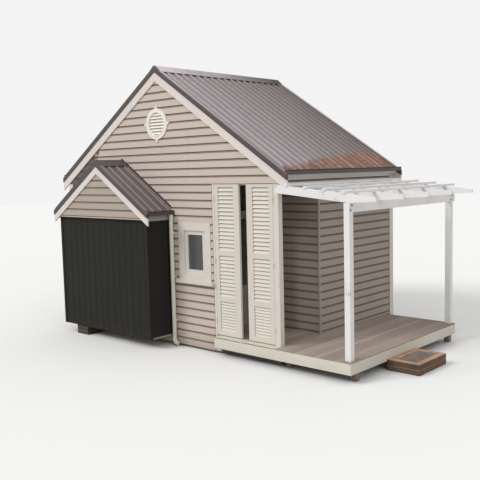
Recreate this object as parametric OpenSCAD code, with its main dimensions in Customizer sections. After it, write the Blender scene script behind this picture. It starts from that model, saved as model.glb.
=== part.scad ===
// Garden studio: a gabled weatherboard room with a gabled pop-out on its front
// wall, a corner porch behind a pair of tall louvred doors, and a timber deck under a
// pergola at its side.
// Millimetres, Z up. x runs along the front wall from the ridge line, y runs back
// from the front wall's face and z runs up from the ground.

/* [House] */
// Width over the side walls
house_w = 5700; // [4800:50:6600]
// Depth over the front and rear walls
house_d = 3510; // [3000:10:4500]
// Thickness of every house wall
wall_t = 120; // [90:5:160]
// Height of the lowest wall boards above the ground
wall_bottom_z = 50; // [30:5:100]
// Height of the deck and of the door sill
deck_z = 340; // [300:5:600]
// Step up from the deck to the floor inside
floor_step = 20; // [5:1:60]
// Thickness of the floor with its joists
floor_t = 150; // [100:5:180]
// Height of the door heads above the ground
head_z = 3010; // [2700:5:3200]
// Side of each square floor stump
stump_w = 100; // [75:5:125]
// Distance from the floor's edges and the deck's ends to the nearest stumps
stump_inset = 60; // [30:5:120]

/* [Roof] */
// Slope of every roof in degrees
roof_pitch = 33.2; // [25:0.1:40]
// Distance that the main barge boards reach past the side walls
barge_reach = 211; // [130:1:400]
// Height of the top corner of the main barge boards' lower ends
barge_end_z = 3058; // [3000:1:3300]
// Width of a main barge board, measured square to its edge
barge_w = 140; // [90:5:200]
// Thickness of every barge board
barge_t = 32; // [20:1:45]
// Height of the roof sheeting above the barge boards
roof_above_barge = 90; // [60:5:120]
// Thickness of the main roof, sheeting to lining
roof_t = 100; // [80:5:140]
// Thickness of the sheeting between its ribs, drawn thick
sheet_t = 6; // [4:1:10]
// Spacing of the sheeting's ribs
rib_pitch = 190; // [150:5:300]
// Distance from a roof's front end to the middle of its first rib
first_rib = 184; // [0:1:190]
// Height of a rib over the sheeting between the ribs
rib_h = 22; // [15:1:30]
// Width of a rib at its foot
rib_base_w = 62; // [45:1:80]
// Width of a rib's flat top
rib_top_w = 28; // [20:1:40]
// Distance that the eave carries past the side walls
eave_overhang = 112; // [80:1:300]
// Distance that the sheeting reaches over the gutters
sheet_drip = 38; // [20:1:60]
// Half width of the ridge capping
ridge_half = 140; // [100:5:220]
// Thickness of the ridge capping
ridge_t = 28; // [15:1:40]
// Thickness of the ridge capping at its edges
ridge_edge_t = 4; // [2:1:8]
// Distance that the barge capping stands out from a gable wall
barge_cap_reach = 45; // [40:1:70]
// Distance that the barge capping laps back over the sheeting
barge_cap_lap = 50; // [30:5:100]
// Thickness of the barge capping over the sheeting
barge_cap_t = 8; // [4:1:12]

/* [Eaves] */
// Width of every gutter
gutter_w = 112; // [90:1:150]
// Height of a gutter's front
gutter_h = 74; // [60:1:120]
// Thickness of the gutter metal, drawn thick
gutter_t = 5; // [4:1:8]
// Height of the main gutters' front edges
gutter_z = 3217; // [3100:1:3300]
// Thickness of the fascia boards
fascia_t = 24; // [18:1:30]
// Thickness of the soffits
soffit_t = 12; // [6:1:18]
// Depth of the fascia below the main gutters
fascia_drop = 48; // [45:1:80]

/* [Gable vent] */
// Radius over the vent's ring
vent_r = 285; // [200:5:350]
// Width of the vent's ring
vent_ring_w = 58; // [40:2:90]
// Height of the vent's centre
vent_z = 4116; // [3900:1:4250]
// Depth of the vent's ring
vent_t = 30; // [20:1:40]
// Number of slats in the vent
vent_slats = 7; // [5:1:10]
// Tilt of the slats in degrees
vent_slat_tilt = 60; // [45:5:75]
// Side of each key block on the ring
vent_key = 45; // [30:1:60]
// Thickness of a slat
vent_slat_t = 6; // [4:1:8]

/* [Doors] */
// Distance from the ridge line to the left side of the doorway
door_x = 1410; // [1300:5:1600]
// Width of the corner post beside the doorway
corner_post_w = 108; // [90:1:140]
// Depth of the corner post
corner_post_d = 100; // [90:1:120]
// Width of each louvred leaf
leaf_w = 576; // [450:1:600]
// Thickness of each louvred leaf
leaf_t = 42; // [35:1:50]
// Running gap round each leaf
leaf_gap = 5; // [5:1:8]
// Height of the leaves' lower edges above the deck
leaf_bottom_gap = 12; // [10:1:25]
// Width of a leaf's hanging stile
hang_stile_w = 86; // [60:1:110]
// Width of a leaf's meeting stile
meet_stile_w = 130; // [60:1:140]
// Depth of a leaf's top rail
top_rail_h = 54; // [40:1:120]
// Depth of a leaf's two middle rails
mid_rail_h = 84; // [60:1:120]
// Depth of a leaf's bottom rail
bottom_rail_h = 86; // [60:1:160]
// Height of the upper middle rail's lower edge
upper_rail_z = 1760; // [1600:5:1900]
// Height of the lower middle rail's lower edge
lower_rail_z = 951; // [850:1:1100]
// Spacing of the blades in the two upper panels
blade_pitch = 66.8; // [55:0.1:80]
// Spacing of the blades in the bottom panel
low_blade_pitch = 50.4; // [45:0.1:60]
// Tilt of the blades in degrees
blade_tilt = 66; // [60:1:75]
// Thickness of a blade
blade_t = 8; // [6:1:10]
// Thickness of the jamb beside the left leaf
jamb_w = 45; // [30:5:60]
// Distance that the head stop reaches down behind the leaves
stop_h = 20; // [10:1:40]
// Radius of the hinge knuckles
knuckle_r = 8; // [6:0.5:10]
// Distance from a leaf's ends to its outer hinges
hinge_inset = 250; // [150:10:400]
// Length of one hinge knuckle
knuckle_h = 30; // [24:1:40]

/* [Window] */
// Distance from the ridge line to the window's left trim
window_x = 495; // [400:5:600]
// Width over the window's trim
window_w = 815; // [600:5:850]
// Height of the top of the window's trim
window_top_z = 2314; // [2100:1:2500]
// Height of the bottom of the window's trim
window_bottom_z = 1240; // [1000:5:1400]
// Width of the window's trim boards
trim_w = 100; // [60:5:120]
// Thickness of the trim boards
trim_t = 22; // [15:1:30]
// Thickness of the window's lining
lining_t = 45; // [25:1:60]
// Width of the window's sash bars
sash_w = 75; // [40:1:90]
// Thickness of the window's sash
sash_t = 40; // [25:1:60]
// Distance from the wall's face back to the sash
sash_y = 5; // [0:1:40]
// Distance that the window sill stands out from the wall
sill_reach = 70; // [40:1:100]
// Distance that the sill runs past the trim at each side
sill_horn = 60; // [20:5:100]
// Thickness of the window sill
sill_t = 60; // [30:1:80]
// Thickness of every glass pane
glass_t = 6; // [4:1:12]

/* [Porch] */
// Distance from the front wall's face back to the porch's rear wall
porch_d = 1085; // [900:5:1400]
// Thickness of the porch's ceiling
ceiling_t = 30; // [12:1:40]
// Width of the bars at the sides of the entrance door
entrance_bar_w = 65; // [45:5:90]
// Height of the entrance doorway above the floor inside
entrance_h = 2080; // [1950:10:2200]
// Depth of the bar between the entrance door and the light over it
transom_h = 50; // [40:1:80]
// Thickness of the entrance door
entrance_t = 40; // [35:1:50]
// Width of the entrance door's stiles and rails
entrance_stile_w = 95; // [70:5:120]
// Height of the top of the entrance door's solid lower part above the deck
kick_h = 763; // [600:1:900]
// Thickness of the panel in that lower part
kick_t = 20; // [12:1:30]

/* [Pop-out] */
// Distance from the ridge line to the pop-out's right side wall
pop_right_x = 262; // [150:1:300]
// Width over the pop-out's side walls
pop_w = 2670; // [2200:10:2720]
// Distance that the pop-out's front stands out from the house
pop_d = 570; // [500:5:900]
// Distance that its gable stands out past its front wall
pop_gable_reach = 48; // [20:1:80]
// Height of the pop-out's lower edge above the ground
pop_bottom_z = 188; // [150:1:200]
// Height of the lower edge of its gable
pop_gable_z = 2382; // [2200:1:2480]
// Thickness of the pop-out's walls
pop_wall_t = 70; // [50:5:100]
// Distance that its barge boards reach past its side walls
pop_barge_reach = 118; // [90:1:220]
// Height of the top corner of its barge boards' lower ends
pop_barge_end_z = 2417; // [2350:1:2600]
// Width of a pop-out barge board, measured square to its edge
pop_barge_w = 116; // [70:1:140]
// Thickness of the pop-out's roof
pop_roof_t = 80; // [60:5:100]
// Height of the sheeting above the pop-out's barge boards
pop_roof_above_barge = 92; // [60:1:120]
// Height of the pop-out's gutters' front edges
pop_gutter_z = 2526; // [2450:1:2600]
// Depth of the fascia below the pop-out's gutters
pop_fascia_drop = 98; // [60:1:120]
// Height of the alcove opening's head
alcove_head_z = 2300; // [2100:10:2350]
// Distance that the alcove opening keeps inside the pop-out's walls
alcove_margin = 50; // [0:5:200]
// Width of the flashing between the pop-out's roof and the wall
flashing_w = 60; // [40:5:90]
// Thickness of that flashing
flashing_t = 8; // [4:1:12]
// Width and depth of the brick pier
pier_w = 350; // [230:10:400]
// Distance from the pop-out's front face back to the brick pier
pier_inset = 30; // [0:5:60]
// Distance from the ridge line to the brick pier's middle
pier_x = -1890; // [-2100:10:-1600]
// Radius of the downpipe
pipe_r = 40; // [30:1:50]
// Distance from the pop-out's wall to the downpipe's middle
pipe_clear = 90; // [60:1:150]
// Distance from the front wall's face to the downpipe
pipe_stand = 20; // [10:5:40]
// Radius of the bend at the downpipe's foot
pipe_bend_r = 60; // [55:5:120]
// Turn of that bend in degrees
pipe_turn = 65; // [30:5:85]
// Length of the downpipe's foot past its bend
pipe_foot_l = 60; // [20:5:160]
// Height of the downpipe's lowest edge above the ground
pipe_ground_gap = 5; // [2:1:100]
// Distance from the downpipe's ends to its outer brackets
bracket_inset = 350; // [200:10:600]
// Height of a downpipe bracket
bracket_h = 30; // [20:1:40]

/* [Deck] */
// Distance from the ridge line to the deck's outer edge
deck_right_x = 4304; // [3800:1:5200]
// Distance that the deck reaches in front of the front wall
deck_front = 153; // [130:1:400]
// Distance from the front wall's face to the deck's rear edge
deck_rear_y = 3278; // [2800:1:3500]
// Distance from the ridge line to the sill board's left end
sill_board_x = 1475; // [1420:1:1600]
// Thickness of the deck boards
board_t = 20; // [15:1:30]
// Depth of the deck's fascia
deck_fascia_h = 172; // [120:1:240]
// Thickness of the deck's fascia
deck_fascia_t = 25; // [18:1:32]
// Width of the deck's joists and bearers
joist_w = 45; // [35:5:60]
// Depth of the deck's joists
joist_h = 90; // [70:5:110]
// Depth of the deck's bearers
bearer_h = 80; // [60:5:100]
// Number of deck joists
joist_count = 8; // [4:1:12]
// Distance from the front wall's face to the brick step's near side
step_y = 880; // [400:10:2000]
// Width of the brick step along the deck
step_w = 896; // [600:2:1200]
// Depth of the brick step away from the deck
step_d = 568; // [300:2:700]
// Height of the brick step
step_h = 182; // [120:2:240]
// Width of the brick border round the step's paver
step_rim = 108; // [80:2:130]
// Thickness of the step's paver
paver_t = 40; // [30:1:50]
// Depth that the paver lies below the border's top
paver_sink = 4; // [0:1:10]

/* [Pergola] */
// Side of each square post
post_w = 100; // [90:1:120]
// Distance from the deck's edge to the posts' outer faces
post_inset = 46; // [20:1:100]
// Distance from the front wall's face to the front post's near face
post_front_y = -82; // [-120:1:0]
// Distance between the two posts' near faces
post_span = 3244; // [2600:1:3400]
// Height of the beam's lower edge above the deck
beam_clear = 2235; // [2000:5:2250]
// Depth of the beam
beam_h = 141; // [100:1:190]
// Thickness of the beam
beam_w = 45; // [35:1:70]
// Distance that the beam runs past the rear post
beam_past = 73; // [20:1:200]
// Number of rafters
rafter_count = 5; // [3:1:7]
// Depth of a rafter, measured plumb
rafter_h = 131; // [90:1:160]
// Thickness of the rafters
rafter_w = 45; // [35:1:60]
// Distance from the soffit down to the top of the ledger
ledger_drop = 160; // [100:1:220]
// Distance from the front rafter to the rear rafter
rafter_span = 3148; // [2500:1:3200]
// Distance that the rafters run past the beam
rafter_tail = 446; // [200:1:600]
// Depth left at a rafter's tip
rafter_tip_h = 60; // [40:1:90]
// Thickness of the ledger on the wall
ledger_t = 45; // [35:1:60]
// Distance that the ledger stays below the tops of the rafters
ledger_below = 50; // [0:5:60]
// Number of battens
batten_count = 4; // [2:1:6]
// Spacing of the battens
batten_pitch = 360; // [200:1:450]
// Distance from the side wall to the first batten
batten_start = 216; // [180:1:400]
// Width of a batten
batten_w = 45; // [30:1:60]
// Height of a batten
batten_h = 38; // [30:1:50]
// Distance that the battens run past the front rafter
batten_front = 20; // [0:5:100]
// Distance that the battens run past the rear rafter
batten_past = 350; // [100:5:500]

/* [Hidden] */
$fn = 48;
tan_p = tan(roof_pitch);
cos_p = cos(roof_pitch);
wall_x = house_w / 2;
inner_x = wall_x - wall_t;
rear_inner_y = house_d - wall_t;
floor_z = deck_z + floor_step;
floor_bottom_z = floor_z - floor_t;
bracket_t = 6;
pipe_bend_t = 3;
pipe_socket = 10;
pan_drop = rib_h / cos_p;
sheet_low = pan_drop + sheet_t;
barge_half = wall_x + barge_reach;
barge_plumb = barge_w / cos_p;
eave_x = wall_x + eave_overhang;
gutter_x = eave_x + gutter_w;
fascia_bottom_z = gutter_z - gutter_h - fascia_drop;
door_right_x = wall_x - corner_post_w;
leaf_z = deck_z + leaf_bottom_gap;
leaf_top_z = head_z - leaf_gap * 2;
hinge_y = -knuckle_r - 1;
hinge_zs = [leaf_z + hinge_inset, (leaf_z + leaf_top_z) / 2, leaf_top_z - hinge_inset];
knuckle_gap = 0.3;
plate_w = 3 * knuckle_r;
let_in = 5;
// Gap left where two sloping faces meet
seam = 0.3;
porch_side_x = door_x - wall_t;
porch_floor_z = deck_z - board_t;
entrance_y0 = wall_t + entrance_bar_w;
entrance_y1 = porch_d - entrance_bar_w;
entrance_w = entrance_y1 - entrance_y0;
entrance_head_z = floor_z + entrance_h;
entrance_z0 = floor_z + leaf_gap;
entrance_z1 = entrance_head_z - leaf_gap;
entrance_hinge_zs = [entrance_z0 + hinge_inset, (entrance_z0 + entrance_z1) / 2, entrance_z1 - hinge_inset];
kick_z = deck_z + kick_h;
top_light_z0 = entrance_head_z + transom_h;
top_light_z1 = head_z - entrance_bar_w;
sash_inset = trim_w + lining_t;
pop_left_x = pop_right_x - pop_w;
pop_x = (pop_left_x + pop_right_x) / 2;
pop_barge_half = pop_w / 2 + pop_barge_reach;
pop_gable_y = -pop_d - pop_gable_reach;
pop_plumb = pop_barge_w / cos_p;
pop_fascia_x = pop_w / 2 + fascia_t;
alcove_left_x = pop_left_x + pop_wall_t + alcove_margin;
alcove_right_x = pop_right_x - pop_wall_t - alcove_margin;
pipe_x = pop_right_x + pipe_clear;
pipe_y = -pipe_r - pipe_stand;
pipe_foot_z = (pipe_bend_r + pipe_r) * sin(pipe_turn) + pipe_foot_l * cos(pipe_turn) + pipe_ground_gap;
beam_z = deck_z + beam_clear;
post_x = deck_right_x - post_inset - post_w;
beam_x = post_x + post_w - beam_w;
post_rear_y = post_front_y + post_span;
ledger_x = wall_x + ledger_t;
ledger_h = rafter_h - ledger_below;
ledger_z = fascia_bottom_z - ledger_drop - ledger_h;
tan_f = (ledger_z - beam_z - beam_h) / (post_x + post_w - ledger_x);
rafter_fall = atan(tan_f);
rafter_tip_x = post_x + post_w + rafter_tail;
rafter_pitch = rafter_span / (rafter_count - 1);
joist_z = deck_z - board_t - joist_h;
bearer_z = joist_z - bearer_h;
deck_inner_x = deck_right_x - deck_fascia_t;
bearer_xs = [wall_x + stump_inset, deck_inner_x - stump_w - stump_inset / 3];
deck_stump_ys = [stump_inset, (deck_rear_y - stump_w) / 2, deck_rear_y - stump_w - stump_inset];
sill_front_y = -deck_front;

// Limits of the whole object, which set the origin at the middle of its footprint
low_x = -gutter_x;
high_x = max(rafter_tip_x, deck_right_x + step_d);
low_y = pop_gable_y - barge_cap_reach;
high_y = house_d + barge_cap_reach;
origin = [(low_x + high_x) / 2, (low_y + high_y) / 2, 0];

board_colour = [0.78, 0.72, 0.67];
cream = [0.90, 0.87, 0.82];
pergola_white = [0.88, 0.87, 0.86];
roof_colour = [0.58, 0.54, 0.54];
dark_metal = [0.33, 0.30, 0.29];
charcoal = [0.20, 0.20, 0.19];
timber_grey = [0.58, 0.53, 0.49];
brick_colour = [0.59, 0.42, 0.31];
paver_colour = [0.45, 0.40, 0.36];
glass_colour = [0.25, 0.27, 0.27, 0.6];

// Heights of the main roof at a distance x from its ridge line
function barge_top(x) = barge_end_z + (barge_half - abs(x)) * tan_p;
function roof_top(x) = barge_top(x) + roof_above_barge;
function roof_under(x) = roof_top(x) - roof_t / cos_p;
function wall_top(x) = roof_under(x) - seam;

// Heights of the pop-out's roof at a distance x from its own ridge line
function pop_barge_top(x) = pop_barge_end_z + (pop_barge_half - abs(x)) * tan_p;
function pop_roof_top(x) = pop_barge_top(x) + pop_roof_above_barge;
function pop_roof_under(x) = pop_roof_top(x) - pop_roof_t / cos_p;
function pop_wall_top(x) = pop_roof_under(x) - seam;

// Height of the rafters' lower edge at a distance x from the ridge line
function rafter_under(x) = beam_z + beam_h + (post_x + post_w - x) * tan_f;
function rafter_top(x) = rafter_under(x) + rafter_h;

module placed() {
    translate(-origin)
        children();
}

module block(low, high) {
    translate(low)
        cube(high - low);
}

// A flat outline in x and z, run from y0 to y1
module front_slab(outline, y0, y1) {
    translate([0, y1, 0])
        rotate([90, 0, 0])
            linear_extrude(y1 - y0)
                polygon(outline);
}

// A pair of sloping bands that meet on the ridge line
module chevron(half, apex_low, apex_high, end_low, end_high, y0, y1) {
    outline = [
        [-half, end_low], [0, apex_low], [half, end_low],
        [half, end_high], [0, apex_high], [-half, end_high]
    ];
    front_slab(outline, y0, y1);
}

module in_pop_out() {
    translate([pop_x, 0, 0])
        children();
}

module stumps() {
    inset = wall_t + stump_inset;
    xs = [-wall_x + inset, -wall_x / 3 - stump_w / 2, wall_x / 3 - stump_w / 2, wall_x - inset - stump_w];
    color(timber_grey)
        placed() {
            for (x = xs)
                for (y = [inset, house_d - inset - stump_w])
                    block([x, y, 0], [x + stump_w, y + stump_w, floor_bottom_z]);
            for (x = bearer_xs)
                for (y = deck_stump_ys)
                    block([x, y, 0], [x + stump_w, y + stump_w, bearer_z]);
        }
}

module floors() {
    color(timber_grey)
        placed() {
            difference() {
                block([-inner_x, wall_t, floor_bottom_z], [inner_x, rear_inner_y, floor_z]);
                block([porch_side_x, wall_t - 1, porch_floor_z],
                      [inner_x + 1, porch_d + wall_t, floor_z + 1]);
            }
            block([pop_left_x + pop_wall_t, -pop_d + pop_wall_t, floor_bottom_z],
                  [pop_right_x - pop_wall_t, 0, floor_z]);
        }
}

module front_wall_left() {
    color(board_colour)
        placed()
            block([-wall_x, 0, wall_bottom_z], [alcove_left_x, wall_t, head_z]);
}

module front_wall_over_alcove() {
    color(board_colour)
        placed()
            block([alcove_left_x, 0, alcove_head_z], [alcove_right_x, wall_t, head_z]);
}

module front_wall_middle() {
    hole_x = window_x + trim_w;
    hole_w = window_w - 2 * trim_w;
    color(board_colour)
        placed()
            difference() {
                block([alcove_right_x, 0, wall_bottom_z], [door_x - jamb_w, wall_t, head_z]);
                block([hole_x, -1, window_bottom_z + trim_w],
                      [hole_x + hole_w, wall_t + 1, window_top_z - trim_w]);
            }
}

module front_base_walls() {
    color(board_colour)
        placed() {
            block([alcove_left_x, 0, wall_bottom_z], [alcove_right_x, wall_t, floor_z]);
            block([door_x - jamb_w, 0, wall_bottom_z], [door_right_x, wall_t, porch_floor_z]);
        }
}

module front_corner_post() {
    color(cream)
        placed() {
            block([door_right_x, 0, wall_bottom_z], [wall_x, corner_post_d, head_z]);
            for (z = hinge_zs)
                frame_knuckles([door_right_x - leaf_gap / 2, hinge_y, z], 1);
        }
}

module front_gable() {
    throat = (vent_r - vent_ring_w) * 0.705;
    outline = [
        [-wall_x, head_z], [wall_x, head_z], [wall_x, wall_top(wall_x)],
        [0, wall_top(0)], [-wall_x, wall_top(wall_x)]
    ];
    color(board_colour)
        placed()
            difference() {
                front_slab(outline, 0, wall_t);
                block([-throat, -1, vent_z - throat], [throat, wall_t + 1, vent_z + throat]);
            }
}

module side_wall(y0, y1, z0) {
    outline = [
        [inner_x, z0], [wall_x, z0], [wall_x, wall_top(wall_x)], [inner_x, wall_top(inner_x)]
    ];
    front_slab(outline, y0, y1);
}

// The strip of the side wall that runs beside the porch, between two heights
module porch_side(z0, z1) {
    block([inner_x, wall_t, z0], [wall_x, porch_d, z1]);
    block([door_right_x, corner_post_d, z0], [wall_x, wall_t, z1]);
}

module right_wall() {
    color(board_colour)
        placed()
            union() {
                side_wall(porch_d, rear_inner_y, wall_bottom_z);
                porch_side(wall_bottom_z, porch_floor_z);
            }
}

module right_wall_over_porch() {
    color(board_colour)
        placed()
            union() {
                side_wall(wall_t, porch_d, head_z);
                porch_side(ledger_z, head_z);
            }
}

module left_wall() {
    color(board_colour)
        placed()
            mirror([1, 0, 0])
                side_wall(wall_t, rear_inner_y, wall_bottom_z);
}

module rear_wall() {
    outline = [
        [-wall_x, wall_bottom_z], [wall_x, wall_bottom_z], [wall_x, wall_top(wall_x)],
        [0, wall_top(0)], [-wall_x, wall_top(wall_x)]
    ];
    color(board_colour)
        placed()
            front_slab(outline, rear_inner_y, house_d);
}

module porch_back_wall() {
    color(board_colour)
        placed()
            block([porch_side_x, porch_d, porch_floor_z], [inner_x, porch_d + wall_t, head_z]);
}

module porch_ceiling() {
    color(board_colour)
        placed()
            block([porch_side_x, wall_t, head_z], [inner_x, porch_d + wall_t, head_z + ceiling_t]);
}

// An angle of two boards that covers a vertical corner of the house
module corner_board(width, thickness) {
    side_top_z = fascia_bottom_z - seam;
    gable_top_z = min(side_top_z, barge_top(wall_x + thickness) - barge_plumb);
    block([-width, -thickness, wall_bottom_z], [thickness, 0, gable_top_z]);
    block([0, 0, wall_bottom_z], [thickness, width, side_top_z]);
}

module corner_boards() {
    color(cream)
        placed() {
            translate([wall_x, house_d, 0])
                mirror([0, 1, 0])
                    corner_board(trim_w, trim_t);
            translate([-wall_x, house_d, 0])
                mirror([1, 0, 0])
                    mirror([0, 1, 0])
                        corner_board(trim_w, trim_t);
            translate([-wall_x, 0, 0])
                mirror([1, 0, 0])
                    corner_board(trim_w, trim_t);
        }
}

// The ribs of one slope, from the ridge at x = 0 down to the drip
module ribs(ridge_z, drip_x, y0, y1) {
    foot = sheet_t / 2;
    low_z = ridge_z - pan_drop - foot;
    intersection() {
        front_slab([
            [0, low_z], [drip_x, low_z - drip_x * tan_p],
            [drip_x, ridge_z - drip_x * tan_p], [0, ridge_z]
        ], y0, y1);
        for (y = [y0 + first_rib : rib_pitch : y1])
            translate([0, y, ridge_z])
                rotate([0, roof_pitch, 0])
                    translate([-rib_h, 0, 0])
                        rotate([90, 0, 90])
                            linear_extrude(drip_x / cos_p + 2 * rib_h)
                                polygon([
                                    [-rib_base_w / 2, -rib_h - foot], [rib_base_w / 2, -rib_h - foot],
                                    [rib_base_w / 2, -rib_h], [rib_top_w / 2, 0],
                                    [-rib_top_w / 2, 0], [-rib_base_w / 2, -rib_h]
                                ]);
    }
}

// One slope of the main roof with its sheeting reaching over the gutter
module roof_slope() {
    drip_x = eave_x + sheet_drip;
    soffit_x = eave_x - fascia_t;
    union() {
        front_slab([
            [0, roof_under(0)], [0, roof_top(0) - pan_drop], [drip_x, roof_top(drip_x) - pan_drop],
            [drip_x, roof_top(drip_x) - sheet_low], [soffit_x, roof_top(soffit_x) - sheet_low],
            [soffit_x, roof_under(soffit_x)]
        ], 0, house_d);
        ribs(roof_top(0), drip_x, 0, house_d);
    }
}

module roof_right() {
    color(roof_colour)
        placed()
            roof_slope();
}

module roof_left() {
    color(roof_colour)
        placed()
            mirror([1, 0, 0])
                roof_slope();
}

// Ridge capping over a ridge at a height, from y0 to y1
module ridge_cap(ridge_z, y0, y1) {
    z = ridge_z + 2 * seam;
    end_z = z - ridge_half * tan_p;
    chevron(ridge_half, z, z + ridge_t, end_z, end_z + ridge_edge_t, y0, y1);
}

module ridge_caps() {
    color(roof_colour)
        placed() {
            ridge_cap(roof_top(0), -barge_cap_reach, house_d + barge_cap_reach);
            in_pop_out()
                ridge_cap(pop_roof_top(0), pop_gable_y - barge_cap_reach, -flashing_t);
        }
}

module barge_pair(half, apex_z, end_z, plumb, y0) {
    chevron(half, apex_z - plumb, apex_z, end_z - plumb, end_z, y0, y0 + barge_t);
}

module barge_boards() {
    color(cream)
        placed() {
            for (y = [-barge_t, house_d])
                barge_pair(barge_half, barge_top(0), barge_end_z, barge_plumb, y);
            in_pop_out()
                barge_pair(pop_barge_half, pop_barge_top(0), pop_barge_end_z, pop_plumb,
                           pop_gable_y - barge_t);
        }
}

// One side of a capping's lap, which may be sunk into the upright face that carries it
module cap_lap(side, drip_x, top_z, sink, y0, y1) {
    start_z = top_z - ridge_half * tan_p;
    end_z = top_z - drip_x * tan_p;
    front_slab([
        [ridge_half * side, start_z - sink], [drip_x * side, end_z - sink],
        [drip_x * side, end_z + barge_cap_t], [ridge_half * side, start_z + barge_cap_t]
    ], min(y0, y1), max(y0, y1));
}

// Capping over a barge board: an upright face down to the board, and a lap over the
// sheeting that ends at its drip. The ridge capping covers the middle.
module barge_cap(half, drip_x, ridge_z, face, y_face, y_wall, y_lap) {
    top_z = ridge_z + seam;
    end_z = top_z - half * tan_p;
    chevron(half, top_z - face, top_z, end_z - face, end_z, min(y_face, y_wall), max(y_face, y_wall));
    for (side = [-1, 1]) {
        cap_lap(side, drip_x, top_z, barge_cap_t, y_face, y_wall);
        cap_lap(side, drip_x, top_z, 0, y_wall, y_lap);
    }
}

module roof_flashings() {
    pop_front = pop_gable_y;
    drip_x = eave_x + sheet_drip;
    pop_drip_x = pop_fascia_x + sheet_drip;
    low_z = pop_roof_top(0) + seam;
    end_z = low_z - pop_drip_x * tan_p;
    color(dark_metal)
        placed() {
            barge_cap(barge_half, drip_x, roof_top(0), roof_above_barge, -barge_cap_reach, 0, barge_cap_lap);
            barge_cap(barge_half, drip_x, roof_top(0), roof_above_barge,
                      house_d + barge_cap_reach, house_d, house_d - barge_cap_lap);
            in_pop_out() {
                barge_cap(pop_barge_half, pop_drip_x, pop_roof_top(0), pop_roof_above_barge,
                          pop_front - barge_cap_reach, pop_front, pop_front + barge_cap_lap);
                chevron(pop_drip_x, low_z, low_z + flashing_w, end_z, end_z + flashing_w, -flashing_t, 0);
            }
        }
}

module fascias() {
    pop_top_z = pop_roof_top(pop_fascia_x) - sheet_low;
    pop_low_z = pop_gutter_z - gutter_h - pop_fascia_drop;
    color(pergola_white)
        placed() {
            for (side = [0, 1])
                mirror([side, 0, 0])
                    union() {
                        block([eave_x - fascia_t, 0, fascia_bottom_z],
                              [eave_x, house_d, roof_top(eave_x) - sheet_low]);
                        block([wall_x, 0, fascia_bottom_z],
                              [eave_x - fascia_t, house_d, fascia_bottom_z + soffit_t]);
                    }
            in_pop_out()
                for (side = [0, 1])
                    mirror([side, 0, 0])
                        block([pop_fascia_x - fascia_t, pop_gable_y, pop_low_z],
                              [pop_fascia_x, 0, pop_top_z]);
        }
}

// An open trough that the sheeting's edge reaches into, with a stop at each end
module gutter(inner_side_x, front_z, y0, y1) {
    low_z = front_z - gutter_h;
    back_z = front_z - gutter_h * 0.6;
    stop_z = low_z + gutter_h / 8;
    outer = inner_side_x + gutter_w;
    past_drip = inner_side_x + sheet_drip + gutter_t;
    front_slab([
        [inner_side_x, low_z], [outer, low_z], [outer, front_z],
        [outer - gutter_t, front_z], [outer - gutter_t, low_z + gutter_t],
        [inner_side_x + gutter_t, low_z + gutter_t], [inner_side_x + gutter_t, back_z],
        [inner_side_x, back_z]
    ], y0, y1);
    for (y = [y0, y1 - gutter_t])
        front_slab([
            [inner_side_x, low_z], [outer, low_z], [outer, front_z], [past_drip, front_z],
            [past_drip, stop_z], [inner_side_x, stop_z]
        ], y, y + gutter_t);
}

module gutters() {
    color(dark_metal)
        placed() {
            for (side = [0, 1])
                mirror([side, 0, 0])
                    union()
                        gutter(eave_x, gutter_z, 0, house_d);
            in_pop_out()
                for (side = [0, 1])
                    mirror([side, 0, 0])
                        union()
                            gutter(pop_fascia_x, pop_gutter_z, pop_gable_y, 0);
        }
}

module gable_vent() {
    inner_r = vent_r - vent_ring_w;
    slat_pitch = 2 * inner_r / (vent_slats + 1);
    slat_w = slat_pitch * 0.65;
    color(cream)
        placed()
            translate([0, 0, vent_z])
                union() {
                    rotate([90, 0, 0])
                        difference() {
                            cylinder(h = vent_t, r = vent_r);
                            translate([0, 0, -1])
                                cylinder(h = vent_t + 2, r = inner_r);
                        }
                    for (i = [1 : vent_slats]) {
                        z = -inner_r + i * slat_pitch;
                        near_z = max(0, abs(z) - slat_w / 2);
                        half = sqrt(inner_r * inner_r - near_z * near_z) + let_in;
                        translate([0, -vent_t / 2, z])
                            rotate([vent_slat_tilt, 0, 0])
                                cube([2 * half, slat_w, vent_slat_t], center = true);
                    }
                    for (turn = [0, 90, 180, 270])
                        rotate([0, turn, 0])
                            block([-vent_key / 2, -vent_t, vent_r - vent_ring_w / 2],
                                  [vent_key / 2, 0, vent_r + vent_key]);
                }
}

module ring(x0, x1, z0, z1, bar, y0, y1) {
    difference() {
        block([x0, y0, z0], [x1, y1, z1]);
        block([x0 + bar, y0 - 1, z0 + bar], [x1 - bar, y1 + 1, z1 - bar]);
    }
}

module window_frame() {
    x1 = window_x + window_w;
    color(cream)
        placed()
            union() {
                ring(window_x, x1, window_bottom_z, window_top_z, trim_w, -trim_t, 0);
                ring(window_x + trim_w, x1 - trim_w, window_bottom_z + trim_w, window_top_z - trim_w,
                     lining_t, -trim_t, wall_t);
                ring(window_x + sash_inset, x1 - sash_inset, window_bottom_z + sash_inset,
                     window_top_z - sash_inset, sash_w, sash_y, sash_y + sash_t);
                block([window_x - sill_horn, -sill_reach, window_bottom_z - sill_t / 2],
                      [x1 + sill_horn, 0, window_bottom_z + sill_t / 2]);
            }
}

module glass_panes() {
    inset = sash_inset + sash_w;
    x1 = window_x + window_w;
    pane_y = sash_y + (sash_t - glass_t) / 2;
    light_x = porch_side_x + (wall_t - glass_t) / 2;
    color(glass_colour)
        placed() {
            block([window_x + inset, pane_y, window_bottom_z + inset],
                  [x1 - inset, pane_y + glass_t, window_top_z - inset]);
            block([light_x, entrance_y0, top_light_z0], [light_x + glass_t, entrance_y1, top_light_z1]);
        }
}

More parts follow.
